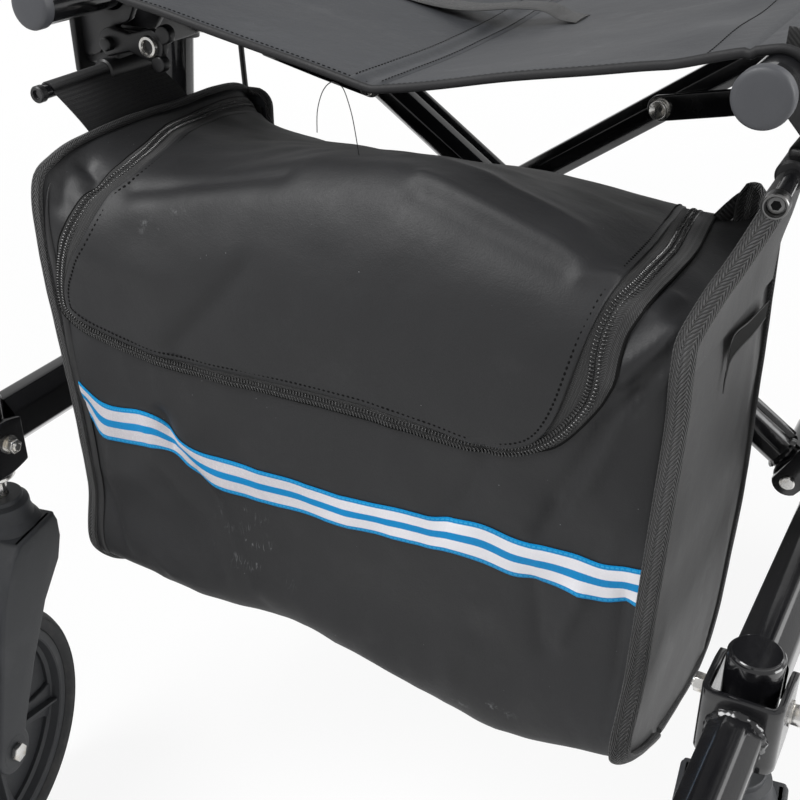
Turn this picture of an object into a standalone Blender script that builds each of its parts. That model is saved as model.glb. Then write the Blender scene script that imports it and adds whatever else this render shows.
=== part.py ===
"""Side-folding four-wheel rollator with a fabric seat and a zip bag hung in front under it.

X runs towards the user's left hand, Y to the rear and Z up, in metres, from the floor under the middle of the frame.
Left and right are the user's, who walks behind the frame and faces its front.
"""

import math

import bmesh
import bpy
from mathutils import Matrix, Quaternion, Vector

GAP = 0.0003

# Places along Y are counted back from the front ends of the seat rails.
FRONT_ENDS_Y = -0.1481

SEAT_RAIL_X = 0.210
SEAT_RAIL_Z = 0.590
SEAT_RAIL_R = 0.0127
SEAT_RAIL_WALL = 0.0016
SEAT_RAIL_LENGTH = 0.320
END_CAP_R = 0.0138
END_CAP_DEPTH = 0.008
END_PLUG_DEPTH = 0.014

LOWER_RAIL_X = 0.257
LOWER_RAIL_Z = 0.319
LOWER_RAIL_WIDTH = 0.028
LOWER_RAIL_HEIGHT = 0.038
LOWER_RAIL_CHAMFER = 0.009
LOWER_RAIL_WALL = 0.0022
REAR_BEND_Y = 0.300
REAR_BEND_R = 0.060

WHEEL_R = 0.100
TYRE_WIDTH = 0.032
RIM_R = 0.0862
WEB = 0.003
HUB_R = 0.019
AXLE_R = 0.0045
WHEEL_STEPS = 30
REAR_AXLE_Y = 0.420
REAR_WHEEL_X = 0.2935

HEAD_Y = -0.0525
HEAD_R = 0.014
HEAD_TOP = 0.345
HEAD_BOTTOM = 0.2865
CLEVIS_TOP = 0.332
CLEVIS_BOTTOM = 0.292
CLEVIS_FRONT_Y = -0.0764
CLEVIS_REAR_Y = -0.0385
CLEVIS_INNER = 0.0316
CLEVIS_PLATE = 0.004
CLEVIS_BOLT_Z = 0.3145
CLEVIS_BOLT_R = 0.003
STUB_Z = 0.3115
STUB_WIDTH = 0.0265
STUB_FRONT_Y = -0.200

STEM_R = 0.006
STEM_TOP = 0.306
STEM_LOW = 0.240
FORK_TOP = 0.251
COLLAR_R = 0.019
COLLAR_TOP = 0.2685
TRAIL = 0.072
FORK_HALF_WIDTH = 0.028
FORK_SLOT_HALF = 0.0205
CASTER_TURN = {"left": math.radians(8), "right": math.radians(11)}

UPRIGHT_LOW_Z = 0.3405
UPRIGHT_LOW_Y = 0.1573
UPRIGHT_TOP_Z = 0.770
UPRIGHT_LEAN = 0.14
UPRIGHT_R = 0.0135
UPRIGHT_BORE_R = 0.0115
HANDLE_TUBE_R = 0.0110
HANDLE_TUBE_LOW_Z = 0.560
HANDLE_BEND_R = 0.055
GRIP_Z = 0.930
GRIP_FRONT_Y = 0.335
GRIP_LENGTH = 0.115
GRIP_R = 0.0175

LEVER_PIVOT_Y = 0.303
LEVER_PIVOT_Z = 0.902
LEVER_WIDTH = 0.014
LEVER_THICKNESS = 0.009

ARM_FOOT_X = 0.224
ARM_FOOT_Z = 0.291
ARM_WIDTH = 0.020
ARM_Y = {"left": 0.246, "right": 0.2085}
FOOT_SLEEVE_R = 0.0115
FOOT_SLEEVE_LENGTH = 0.070
FOOT_PIN_R = 0.005
CROSS_BOLT_R = 0.004
LINK_BOLT_X = 0.0975
LINK_PLATE_WIDTH = 0.017
LINK_PLATE_THICKNESS = 0.004
BRACE_ROD_Y = 0.2273
BRACE_ROD_R = 0.0070

BRACKET_Z = 0.552
HANGER_ROD_X = 0.2145
HANGER_ROD_Z = 0.5385
HANGER_ROD_R = 0.0042
HANGER_ROD_FRONT = {"left": (0.2195, 0.020), "right": (0.2145, 0.002)}
HANGER_ROD_REAR_Y = 0.1005

SEAT_FRONT_Y = 0.030
SEAT_REAR_Y = 0.290
SEAT_CENTRE_Z = 0.5625
SEAT_THICKNESS = 0.0028
SEAT_DROOP = 0.004
SEAT_FOLD = 0.006

BAG_HALF_WIDTH = 0.1955
BAG_WALL = 0.0025
BAG_FRONT_Y = -0.031
BAG_REAR_Y = 0.166
BAG_TOP_Z = 0.514
BAG_LOW_Z = 0.181

BRAKE_ARM_PIVOT = (0.3373, 0.2515)
SHOE_CLEARANCE = 0.003

SIDES = {"left": 1.0, "right": -1.0}


def clear_scene():
    """Removes every object, so that the script can run in any file."""
    for item in list(bpy.data.objects):
        bpy.data.objects.remove(item)


def make_collection(name, shown=True):
    """A collection under the scene's own, drawn in renders or kept out of them."""
    group = bpy.data.collections.new(name)
    group.hide_render = not shown
    bpy.context.scene.collection.children.link(group)
    return group


def make_material(name, colour, roughness, metallic=0.0, coat=0.0):
    """One plain finish."""
    material = bpy.data.materials.new(name)
    material.use_nodes = True
    shader = material.node_tree.nodes["Principled BSDF"]
    shader.inputs["Base Color"].default_value = (*colour, 1.0)
    shader.inputs["Roughness"].default_value = roughness
    shader.inputs["Metallic"].default_value = metallic
    shader.inputs["Coat Weight"].default_value = coat
    return material


clear_scene()
ROLLATOR = make_collection("rollator")
CUTTERS = make_collection("cutters", shown=False)

FRAME_PAINT = make_material("frame_paint", (0.006, 0.006, 0.007), 0.16, coat=0.6)
PLASTIC = make_material("moulded_plastic", (0.030, 0.031, 0.034), 0.50)
CAST_BLACK = make_material("cast_black", (0.012, 0.012, 0.013), 0.35)
ZINC = make_material("bright_zinc", (0.75, 0.74, 0.72), 0.22, metallic=1.0)
RUBBER = make_material("tyre_rubber", (0.045, 0.046, 0.048), 0.75)
GRIP_RUBBER = make_material("grip_rubber", (0.020, 0.020, 0.022), 0.62)
BAG_FABRIC = make_material("coated_fabric", (0.040, 0.041, 0.045), 0.55)
SEAT_FABRIC = make_material("seat_fabric", (0.050, 0.052, 0.057), 0.50)
CABLE_SLEEVE = make_material("cable_sleeve", (0.010, 0.010, 0.010), 0.40)


def at(x, back, z):
    """A point from its X, its distance behind the seat rails' front ends and its height."""
    return Vector((x, FRONT_ENDS_Y + back, z))


def link(name, data, material, place=None):
    """Puts new object data in the rollator's collection."""
    item = bpy.data.objects.new(name, data)
    data.materials.append(material)
    ROLLATOR.objects.link(item)
    if place is not None:
        item.matrix_world = place
    return item


def settle(item, weld=1e-5):
    """Swaps an object for one that holds its evaluated mesh in world places, with any loose caps welded."""
    bpy.context.view_layer.update()
    graph = bpy.context.evaluated_depsgraph_get()
    mesh = bpy.data.meshes.new_from_object(item.evaluated_get(graph))
    mesh.transform(item.matrix_world)
    bm = bmesh.new()
    bm.from_mesh(mesh)
    bmesh.ops.remove_doubles(bm, verts=bm.verts, dist=weld)
    bmesh.ops.recalc_face_normals(bm, faces=bm.faces)
    bm.to_mesh(mesh)
    bm.free()
    mesh.shade_smooth()
    mesh.set_sharp_from_angle(angle=math.radians(35))
    name, old = item.name, item.data
    bpy.data.objects.remove(item)
    for store, kind in ((bpy.data.curves, bpy.types.Curve), (bpy.data.meshes, bpy.types.Mesh)):
        if isinstance(old, kind):
            store.remove(old)
    mesh.name = name
    made = bpy.data.objects.new(name, mesh)
    ROLLATOR.objects.link(made)
    return made


def set_origin(item, origin):
    """Moves an unrotated object's origin without moving its mesh."""
    shift = Vector(origin) - item.location
    item.data.transform(Matrix.Translation(-shift))
    item.location = origin
    return item


def add_box(name, low, high, material, bevel=0.0):
    """A box between two corners, with its edges cut if asked."""
    low, high = Vector(low), Vector(high)
    bm = bmesh.new()
    size = Matrix.Diagonal((*(high - low), 1.0))
    bmesh.ops.create_cube(bm, size=1.0, matrix=Matrix.Translation((low + high) / 2) @ size)
    mesh = bpy.data.meshes.new(name)
    bm.to_mesh(mesh)
    bm.free()
    item = link(name, mesh, material)
    if bevel > 0:
        rounding = item.modifiers.new("edges", "BEVEL")
        rounding.width = bevel
        rounding.segments = 1
    return item


def add_rod(name, start, end, radius, material, sides=16):
    """A closed round bar from one point to another."""
    start, end = Vector(start), Vector(end)
    turn = (end - start).to_track_quat("Z", "Y").to_matrix().to_4x4()
    bm = bmesh.new()
    bmesh.ops.create_cone(
        bm,
        cap_ends=True,
        segments=sides,
        radius1=radius,
        radius2=radius,
        depth=(end - start).length,
        matrix=Matrix.Translation((start + end) / 2) @ turn,
    )
    mesh = bpy.data.meshes.new(name)
    bm.to_mesh(mesh)
    bm.free()
    mesh.shade_smooth()
    mesh.set_sharp_from_angle(angle=math.radians(35))
    return link(name, mesh, material)


def rounded_path(corners, radius, steps=5):
    """The corners joined by straight runs, with an arc of the given radius at each inner corner."""
    corners = [Vector(point) for point in corners]
    points = [corners[0]]
    for before, corner, after in zip(corners, corners[1:], corners[2:]):
        into = (before - corner).normalized()
        out = (after - corner).normalized()
        half_angle = into.angle(out) / 2
        reach = radius / math.tan(half_angle)
        centre = corner + (into + out).normalized() * (radius / math.sin(half_angle))
        start = corner + into * reach - centre
        end = corner + out * reach - centre
        turn = start.rotation_difference(end)
        for step in range(steps + 1):
            points.append(centre + Quaternion(turn.axis, turn.angle * step / steps) @ start)
    points.append(corners[-1])
    return points


def add_tube(name, points, material, radius=None, sides=16, outline=None, wall=0.0):
    """A round or shaped bar along a path, or an open-ended tube where it has a wall."""
    curve = bpy.data.curves.new(name, "CURVE")
    curve.dimensions = "3D"
    curve.use_fill_caps = not wall
    spline = curve.splines.new("POLY")
    spline.points.add(len(points) - 1)
    for point, place in zip(spline.points, points):
        point.co = (*place, 1.0)
    guide = None
    if outline:
        guide = closed_outline(f"outline_of_{name}", outline)
        curve.twist_mode = "Z_UP"
        curve.bevel_mode = "OBJECT"
        curve.bevel_object = guide
    else:
        curve.bevel_depth = radius
        curve.bevel_resolution = (sides - 4) // 2
    item = settle(link(name, curve, material))
    if guide:
        bpy.data.objects.remove(guide)
    if wall:
        shell = item.modifiers.new("wall", "SOLIDIFY")
        shell.thickness = wall
        shell.offset = -1.0
        shell.use_even_offset = True
    return item


def closed_outline(name, *outlines):
    """Flat closed curves through (x, y) pairs, in one object."""
    curve = bpy.data.curves.new(name, "CURVE")
    curve.dimensions = "2D"
    for outline in outlines:
        spline = curve.splines.new("POLY")
        spline.points.add(len(outline) - 1)
        for point, (x, y) in zip(spline.points, outline):
            point.co = (x, y, 0.0, 1.0)
        spline.use_cyclic_u = True
    item = bpy.data.objects.new(name, curve)
    bpy.context.scene.collection.objects.link(item)
    return item


def add_plate(name, outline, thickness, place, material, more=()):
    """Flat outlines, given their thickness about their own plane and then put in place."""
    item = closed_outline(name, outline, *more)
    bpy.context.scene.collection.objects.unlink(item)
    ROLLATOR.objects.link(item)
    item.data.fill_mode = "BOTH"
    item.data.extrude = thickness / 2
    item.data.materials.append(material)
    item.matrix_world = place
    return settle(item)


def side_view(x):
    """Places a flat outline so that its x runs to the rear, its y upwards and its thickness along X."""
    turn = Matrix(((0, 0, 1, x), (1, 0, 0, FRONT_ENDS_Y), (0, 1, 0, 0), (0, 0, 0, 1)))
    return turn


def front_view(back):
    """Places a flat outline so that its x runs along X, its y upwards and its thickness along Y."""
    place = FRONT_ENDS_Y + back
    return Matrix(((1, 0, 0, 0), (0, 0, -1, place), (0, 1, 0, 0), (0, 0, 0, 1)))


def top_view(z):
    """Places a flat outline so that its y runs to the rear and its thickness along Z."""
    return Matrix.Translation((0, FRONT_ENDS_Y, z))


def octagon(width, height, chamfer):
    """The outline of a flat-sided tube with cut corners."""
    w, h, c = width / 2, height / 2, chamfer
    quarter = [(w, h - c), (w - c, h)]
    quarter += [(c - w, h), (-w, h - c)]
    return quarter + [(-x, -y) for x, y in quarter]


def arc(centre, radius, start, end, steps):
    """Points on an arc, angles in degrees."""
    turns = [math.radians(start + (end - start) * step / steps) for step in range(steps + 1)]
    return [
        (centre[0] + radius * math.cos(turn), centre[1] + radius * math.sin(turn))
        for turn in turns
    ]


def turned(name, profile, centre, axis, material, steps=28):
    """A solid of revolution from (radius, distance along the axis) pairs that start and end on the axis, or that close as a ring."""
    ring = profile[0][0] > 0
    area = sum(
        a[0] * b[1] - b[0] * a[1] for a, b in zip(profile, profile[1:] + profile[:1])
    )
    if area > 0:
        profile = profile[::-1]
    bm = bmesh.new()
    verts = [bm.verts.new((radius, 0.0, along)) for radius, along in profile]
    for start, end in zip(verts, verts[1:] + (verts[:1] if ring else [])):
        if start.co.x > 0 or end.co.x > 0:
            bm.edges.new((start, end))
    mesh = bpy.data.meshes.new(name)
    bm.to_mesh(mesh)
    bm.free()
    turn = Vector(axis).to_track_quat("Z", "Y").to_matrix().to_4x4()
    item = link(name, mesh, material, Matrix.Translation(centre) @ turn)
    screw = item.modifiers.new("turned", "SCREW")
    screw.axis = "Z"
    screw.steps = steps
    screw.render_steps = steps
    screw.use_merge_vertices = True
    screw.merge_threshold = 1e-5
    return settle(item)


def combine(item, other, operation):
    """Cuts, joins or intersects with another object, which becomes a hidden guide."""
    ROLLATOR.objects.unlink(other)
    CUTTERS.objects.link(other)
    other.hide_render = True
    other.display_type = "WIRE"
    step = item.modifiers.new(other.name, "BOOLEAN")
    step.operation = operation
    step.solver = "EXACT"
    step.object = other
    return item


def cut_hole(item, start, end, radius, sides=12):
    """Bores a round hole through an object."""
    tool = add_rod(f"bore_in_{item.name}", start, end, radius, item.data.materials[0], sides)
    return combine(item, tool, "DIFFERENCE")


def turn_about(item, centre, angle):
    """Turns an unrotated object about a vertical axis, in its mesh."""
    spin = Matrix.Rotation(angle, 4, "Z")
    item.data.transform(Matrix.Translation(centre) @ spin @ Matrix.Translation(-Vector(centre)))
    return item


def mirror_mesh(item):
    """Mirrors an unmoved object across the middle plane, in its mesh."""
    item.data.transform(Matrix.Diagonal((-1, 1, 1, 1)))
    item.data.flip_normals()


def upright_back(z):
    """How far behind the front ends the upright's axis is at a height."""
    return UPRIGHT_LOW_Y + (z - UPRIGHT_LOW_Z) * UPRIGHT_LEAN


def add_side_frame(side, sign):
    """The lower rail with its rear leg, the upright, and the rear wheel's axle."""
    x = sign * LOWER_RAIL_X
    front = at(x, HEAD_Y + HEAD_R + GAP + 0.0002, LOWER_RAIL_Z)
    corner = at(x, REAR_BEND_Y, LOWER_RAIL_Z)
    foot = at(x, REAR_AXLE_Y + 0.012, WHEEL_R - 0.020)
    outline = octagon(LOWER_RAIL_WIDTH, LOWER_RAIL_HEIGHT, LOWER_RAIL_CHAMFER)
    path = rounded_path([front, corner, foot], REAR_BEND_R)
    rail = add_tube(f"lower_rail_{side}", path, FRAME_PAINT, outline=outline, wall=LOWER_RAIL_WALL)
    axle_centre = at(x, REAR_AXLE_Y, WHEEL_R)
    reach = Vector((0.030, 0, 0))
    cut_hole(rail, axle_centre - reach, axle_centre + reach, AXLE_R + GAP, 16)
    low = at(x, upright_back(UPRIGHT_LOW_Z), UPRIGHT_LOW_Z)
    top = at(x, upright_back(UPRIGHT_TOP_Z), UPRIGHT_TOP_Z)
    wall = UPRIGHT_R - UPRIGHT_BORE_R
    add_tube(f"upright_{side}", [low, top], FRAME_PAINT, UPRIGHT_R, 16, wall=wall)
    inner = at(x - sign * 0.0175, REAR_AXLE_Y, WHEEL_R)
    outer = at(sign * (REAR_WHEEL_X + 0.0215), REAR_AXLE_Y, WHEEL_R)
    add_rod(f"rear_axle_{side}", inner, outer, AXLE_R, ZINC, 16)


def add_seat_rail(side, sign):
    """The round seat rail and the moulded cap in its front end."""
    x = sign * SEAT_RAIL_X
    start = at(x, END_CAP_DEPTH + GAP, SEAT_RAIL_Z)
    end = at(x, SEAT_RAIL_LENGTH, SEAT_RAIL_Z)
    add_tube(f"seat_rail_{side}", [start, end], FRAME_PAINT, SEAT_RAIL_R, 20, wall=SEAT_RAIL_WALL)
    plug_r = SEAT_RAIL_R - SEAT_RAIL_WALL - 2 * GAP
    profile = [
        (0.0, 0.0),
        (END_CAP_R - 0.0012, 0.0),
        (END_CAP_R, 0.0012),
        (END_CAP_R, END_CAP_DEPTH),
        (plug_r, END_CAP_DEPTH),
        (plug_r, END_CAP_DEPTH + END_PLUG_DEPTH),
        (0.0, END_CAP_DEPTH + END_PLUG_DEPTH),
    ]
    centre = at(x, 0.0, SEAT_RAIL_Z)
    turned(f"seat_rail_cap_{side}", profile, centre, (0, 1, 0), PLASTIC, 20)


def add_caster_head(side, sign):
    """The head tube in its clevis, with the cross bolt, and the stub tube on the clevis."""
    x = sign * LOWER_RAIL_X
    centre = at(x, HEAD_Y, 0)
    profile = [
        (0.0, HEAD_TOP),
        (HEAD_R - 0.001, HEAD_TOP),
        (HEAD_R, HEAD_TOP - 0.001),
        (HEAD_R, HEAD_BOTTOM),
        (STEM_R + GAP, HEAD_BOTTOM),
        (STEM_R + GAP, STEM_TOP + GAP),
        (0.0, STEM_TOP + GAP),
    ]
    head = turned(f"caster_head_{side}", profile, centre, (0, 0, 1), CAST_BLACK, 20)
    hole_start = at(x - 0.040, HEAD_Y, CLEVIS_BOLT_Z)
    hole_end = at(x + 0.040, HEAD_Y, CLEVIS_BOLT_Z)
    cut_hole(head, hole_start, hole_end, CLEVIS_BOLT_R + GAP)
    half = CLEVIS_INNER / 2
    outer = half + CLEVIS_PLATE
    corner_r = 0.006
    front = CLEVIS_FRONT_Y + corner_r
    outline = [(x - outer, CLEVIS_REAR_Y)]
    outline += arc((x - outer + corner_r, front), corner_r, 180, 270, 3)
    outline += arc((x + outer - corner_r, front), corner_r, 270, 360, 3)
    outline += [(x + outer, CLEVIS_REAR_Y), (x + half, CLEVIS_REAR_Y)]
    inner_r = corner_r - CLEVIS_PLATE
    outline += arc((x + half - inner_r, front), inner_r, 0, -90, 2)
    outline += arc((x - half + inner_r, front), inner_r, -90, -180, 2)
    outline += [(x - half, CLEVIS_REAR_Y)]
    middle = (CLEVIS_TOP + CLEVIS_BOTTOM) / 2
    height = CLEVIS_TOP - CLEVIS_BOTTOM
    clevis = add_plate(f"clevis_{side}", outline, height, top_view(middle), FRAME_PAINT)
    cut_hole(clevis, hole_start, hole_end, CLEVIS_BOLT_R + GAP)
    head_r = 0.0052
    profile = [
        (0.0, -0.0058),
        (head_r, -0.0058),
        (head_r, -GAP),
        (CLEVIS_BOLT_R, -GAP),
        (CLEVIS_BOLT_R, 2 * outer + GAP),
        (head_r, 2 * outer + GAP),
        (head_r, 2 * outer + 0.0062),
        (0.0, 2 * outer + 0.0062),
    ]
    bolt_start = at(x + sign * outer, HEAD_Y, CLEVIS_BOLT_Z)
    turned(f"clevis_bolt_{side}", profile, bolt_start, (-sign, 0, 0), ZINC, 12)
    outline = octagon(STUB_WIDTH, STUB_WIDTH, STUB_WIDTH * 0.29)
    path = [at(x, STUB_FRONT_Y, STUB_Z), at(x, CLEVIS_FRONT_Y - GAP, STUB_Z)]
    add_tube(f"front_stub_tube_{side}", path, FRAME_PAINT, outline=outline, wall=0.002)


def add_wheel(name, centre):
    """A moulded wheel with five recesses on each face of its web, and its rubber tyre, turning about X."""
    half = TYRE_WIDTH / 2
    rim_half = 0.0125
    profile = [
        (AXLE_R + GAP, -half + 0.001),
        (HUB_R - 0.003, -half + 0.001),
        (HUB_R, -0.0055),
        (RIM_R - 0.010, -0.0045),
        (RIM_R - 0.0065, -rim_half),
        (RIM_R, -rim_half),
        (RIM_R, rim_half),
        (RIM_R - 0.0065, rim_half),
        (RIM_R - 0.010, 0.0045),
        (HUB_R, 0.0055),
        (HUB_R - 0.003, half - 0.001),
        (AXLE_R + GAP, half - 0.001),
    ]
    hub = turned(f"{name}_hub", profile, centre, (1, 0, 0), PLASTIC, WHEEL_STEPS)
    inner_r, outer_r = HUB_R + 0.006, RIM_R - 0.013
    outlines = []
    for recess in range(5):
        middle = 72 * recess + 90
        outlines.append(
            arc((0, 0), outer_r, middle - 26, middle + 26, 3)
            + arc((0, 0), inner_r, middle + 12, middle - 12, 1)
        )
    turn = side_view(0).to_3x3().to_4x4()
    depth = 0.04
    recesses = []
    for face, out in (("right", -1), ("left", 1)):
        middle = Vector(centre) + Vector((out * (depth + WEB) / 2, 0, 0))
        place = Matrix.Translation(middle) @ turn
        recess = add_plate(f"{face}_recesses_of_{name}", outlines[0], depth, place, PLASTIC, outlines[1:])
        combine(hub, recess, "DIFFERENCE")
        recesses.append(recess)
    seat_r = RIM_R + GAP
    tread_r = WHEEL_R / math.cos(math.pi / WHEEL_STEPS)
    profile = [
        (seat_r, -0.0125),
        (seat_r + 0.004, -half),
        (WHEEL_R - 0.0045, -half),
        (tread_r, -half + 0.0075),
        (tread_r, half - 0.0075),
        (WHEEL_R - 0.0045, half),
        (seat_r + 0.004, half),
        (seat_r, 0.0125),
    ]
    tyre = turned(f"{name}_tyre", profile, centre, (1, 0, 0), RUBBER, WHEEL_STEPS)
    return hub, tyre, *recesses


def add_caster(side, sign):
    """The stem, fork, axle and wheel of one front caster, turned about its stem as it stands."""
    x = sign * LOWER_RAIL_X
    centre = at(x, HEAD_Y, 0)
    profile = [(0.0, STEM_TOP), (STEM_R, STEM_TOP), (STEM_R, STEM_LOW), (0.0, STEM_LOW)]
    stem = turned(f"caster_stem_{side}", profile, centre, (0, 0, 1), ZINC, 16)
    axle_y = HEAD_Y - TRAIL
    outline = [
        (HEAD_Y + 0.020, FORK_TOP),
        (HEAD_Y - 0.020, FORK_TOP),
        (HEAD_Y - 0.034, FORK_TOP - 0.012),
        (HEAD_Y - 0.050, 0.220),
        (HEAD_Y - 0.062, 0.200),
    ]
    outline += arc((axle_y, WHEEL_R), 0.0170, 155, 385, 8)
    outline += [(HEAD_Y - 0.004, 0.190), (HEAD_Y + 0.016, 0.212), (HEAD_Y + 0.022, 0.228)]
    width = 2 * FORK_HALF_WIDTH
    fork = add_plate(f"caster_fork_{side}", outline, width, side_view(x), PLASTIC)
    profile = [
        (0.0, COLLAR_TOP),
        (COLLAR_R - 0.004, COLLAR_TOP),
        (COLLAR_R, COLLAR_TOP - 0.006),
        (COLLAR_R, FORK_TOP - 0.004),
        (0.0, FORK_TOP - 0.004),
    ]
    collar = turned(f"collar_of_{side}", profile, centre, (0, 0, 1), PLASTIC, 18)
    combine(fork, collar, "UNION")
    slot = [
        (HEAD_Y + 0.060, -0.010),
        (HEAD_Y + 0.060, 0.203),
        (HEAD_Y + 0.008, 0.2235),
        (HEAD_Y - 0.016, 0.2330),
        (HEAD_Y - 0.034, 0.2270),
        (HEAD_Y - 0.048, 0.2120),
        (HEAD_Y - 0.130, 0.2120),
        (HEAD_Y - 0.130, -0.010),
    ]
    width = 2 * FORK_SLOT_HALF
    slot_tool = add_plate(f"slot_in_fork_{side}", slot, width, side_view(x), PLASTIC)
    combine(fork, slot_tool, "DIFFERENCE")
    low = at(x, HEAD_Y, STEM_LOW - GAP)
    high = at(x, HEAD_Y, COLLAR_TOP + 0.01)
    stem_hole = add_rod(f"stem_hole_{side}", low, high, STEM_R + GAP, PLASTIC)
    combine(fork, stem_hole, "DIFFERENCE")
    axle_centre = at(x, axle_y, WHEEL_R)
    reach = Vector((0.05, 0, 0))
    start, end = axle_centre - reach, axle_centre + reach
    axle_hole = add_rod(f"axle_hole_{side}", start, end, AXLE_R + GAP, PLASTIC)
    combine(fork, axle_hole, "DIFFERENCE")
    reach = Vector((FORK_HALF_WIDTH - 0.001, 0, 0))
    start, end = axle_centre - reach, axle_centre + reach
    axle = add_rod(f"front_axle_{side}", start, end, AXLE_R, ZINC)
    hub, tyre, *recesses = add_wheel(f"front_wheel_{side}", axle_centre)
    angle = CASTER_TURN[side]
    turning = (stem, fork, collar, slot_tool, stem_hole, axle_hole, axle, hub, tyre, *recesses)
    for item in turning:
        turn_about(item, centre, angle)
    for item in (stem, fork, axle):
        set_origin(item, centre)
    spun_centre = Matrix.Rotation(angle, 4, "Z") @ (axle_centre - centre) + centre
    for item in (hub, tyre):
        set_origin(item, spun_centre)


def add_rear_wheel(side, sign):
    """The fixed rear wheel outside the leg, and the brake arm with its shoe in front of the tyre."""
    centre = at(sign * REAR_WHEEL_X, REAR_AXLE_Y, WHEEL_R)
    hub, tyre, *_ = add_wheel(f"rear_wheel_{side}", centre)
    for item in (hub, tyre):
        set_origin(item, centre)
    pivot_y, pivot_z = BRAKE_ARM_PIVOT
    wheel = (REAR_AXLE_Y, WHEEL_R)
    outline = [(pivot_y + 0.005, pivot_z + 0.0095), (pivot_y - 0.016, pivot_z + 0.015)]
    outline += [(pivot_y - 0.022, pivot_z + 0.010), (pivot_y - 0.019, pivot_z + 0.003)]
    outline += [(pivot_y - 0.005, pivot_z - 0.0095)]
    outline += arc(wheel, WHEEL_R + SHOE_CLEARANCE, 116, 88, 4)
    outline += arc(wheel, WHEEL_R + SHOE_CLEARANCE + 0.012, 86, 108, 3)
    inner_x = LOWER_RAIL_X + LOWER_RAIL_WIDTH / 2 + 0.0006
    outer_x = REAR_WHEEL_X + 0.013
    place = side_view(sign * (inner_x + outer_x) / 2)
    shoe = add_plate(f"brake_shoe_{side}", outline, outer_x - inner_x, place, CAST_BLACK)
    set_origin(shoe, at(sign * inner_x, pivot_y, pivot_z))


def add_bracket(side, sign):
    """The cast bracket on the upright that cradles the seat rail, and the rod that the bag hangs on."""
    clamp_y = upright_back(BRACKET_Z)
    bracket = add_box(
        f"seat_bracket_{side}",
        at(LOWER_RAIL_X - 0.0210, clamp_y - 0.021, BRACKET_Z - 0.021),
        at(LOWER_RAIL_X + 0.0180, clamp_y + 0.0205, BRACKET_Z + 0.019),
        CAST_BLACK,
        0.003,
    )
    plate = add_box(
        f"plate_of_bracket_{side}",
        at(LOWER_RAIL_X - 0.0208, 0.060, BRACKET_Z - 0.018),
        at(LOWER_RAIL_X - 0.0128, clamp_y, BRACKET_Z + 0.017),
        CAST_BLACK,
    )
    cradle = add_box(
        f"cradle_of_bracket_{side}",
        at(SEAT_RAIL_X - 0.012, 0.068, BRACKET_Z - 0.0065),
        at(LOWER_RAIL_X - 0.0150, 0.122, SEAT_RAIL_Z - 0.0085),
        CAST_BLACK,
    )
    socket_block = add_box(
        f"socket_of_bracket_{side}",
        at(HANGER_ROD_X - 0.009, 0.062, HANGER_ROD_Z - 0.0085),
        at(LOWER_RAIL_X - 0.0150, 0.104, HANGER_ROD_Z + 0.0095),
        CAST_BLACK,
    )
    for piece in (plate, cradle, socket_block):
        combine(bracket, piece, "UNION")
    rail_start = at(SEAT_RAIL_X, 0.050, SEAT_RAIL_Z)
    rail_end = at(SEAT_RAIL_X, 0.150, SEAT_RAIL_Z)
    hollow = add_rod(
        f"cradle_hollow_{side}", rail_start, rail_end, SEAT_RAIL_R + 0.0009, CAST_BLACK, 24
    )
    combine(bracket, hollow, "DIFFERENCE")
    low = at(LOWER_RAIL_X, upright_back(BRACKET_Z - 0.04), BRACKET_Z - 0.04)
    high = at(LOWER_RAIL_X, upright_back(BRACKET_Z + 0.04), BRACKET_Z + 0.04)
    bore = add_rod(f"clamp_bore_{side}", low, high, UPRIGHT_R + 2 * GAP, CAST_BLACK, 20)
    combine(bracket, bore, "DIFFERENCE")
    rod_front = at(*HANGER_ROD_FRONT[side], HANGER_ROD_Z)
    rod_rear = at(HANGER_ROD_X, HANGER_ROD_REAR_Y, HANGER_ROD_Z)
    socket = add_rod(
        f"rod_socket_{side}",
        rod_front,
        rod_rear + Vector((0, GAP, 0)),
        HANGER_ROD_R + GAP,
        CAST_BLACK,
    )
    combine(bracket, socket, "DIFFERENCE")
    hanger = add_rod(f"bag_hanger_rod_{side}", rod_front, rod_rear, HANGER_ROD_R, FRAME_PAINT)
    if sign < 0:
        for item in (bracket, plate, cradle, socket_block, hollow, bore, socket, hanger):
            mirror_mesh(item)


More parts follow.
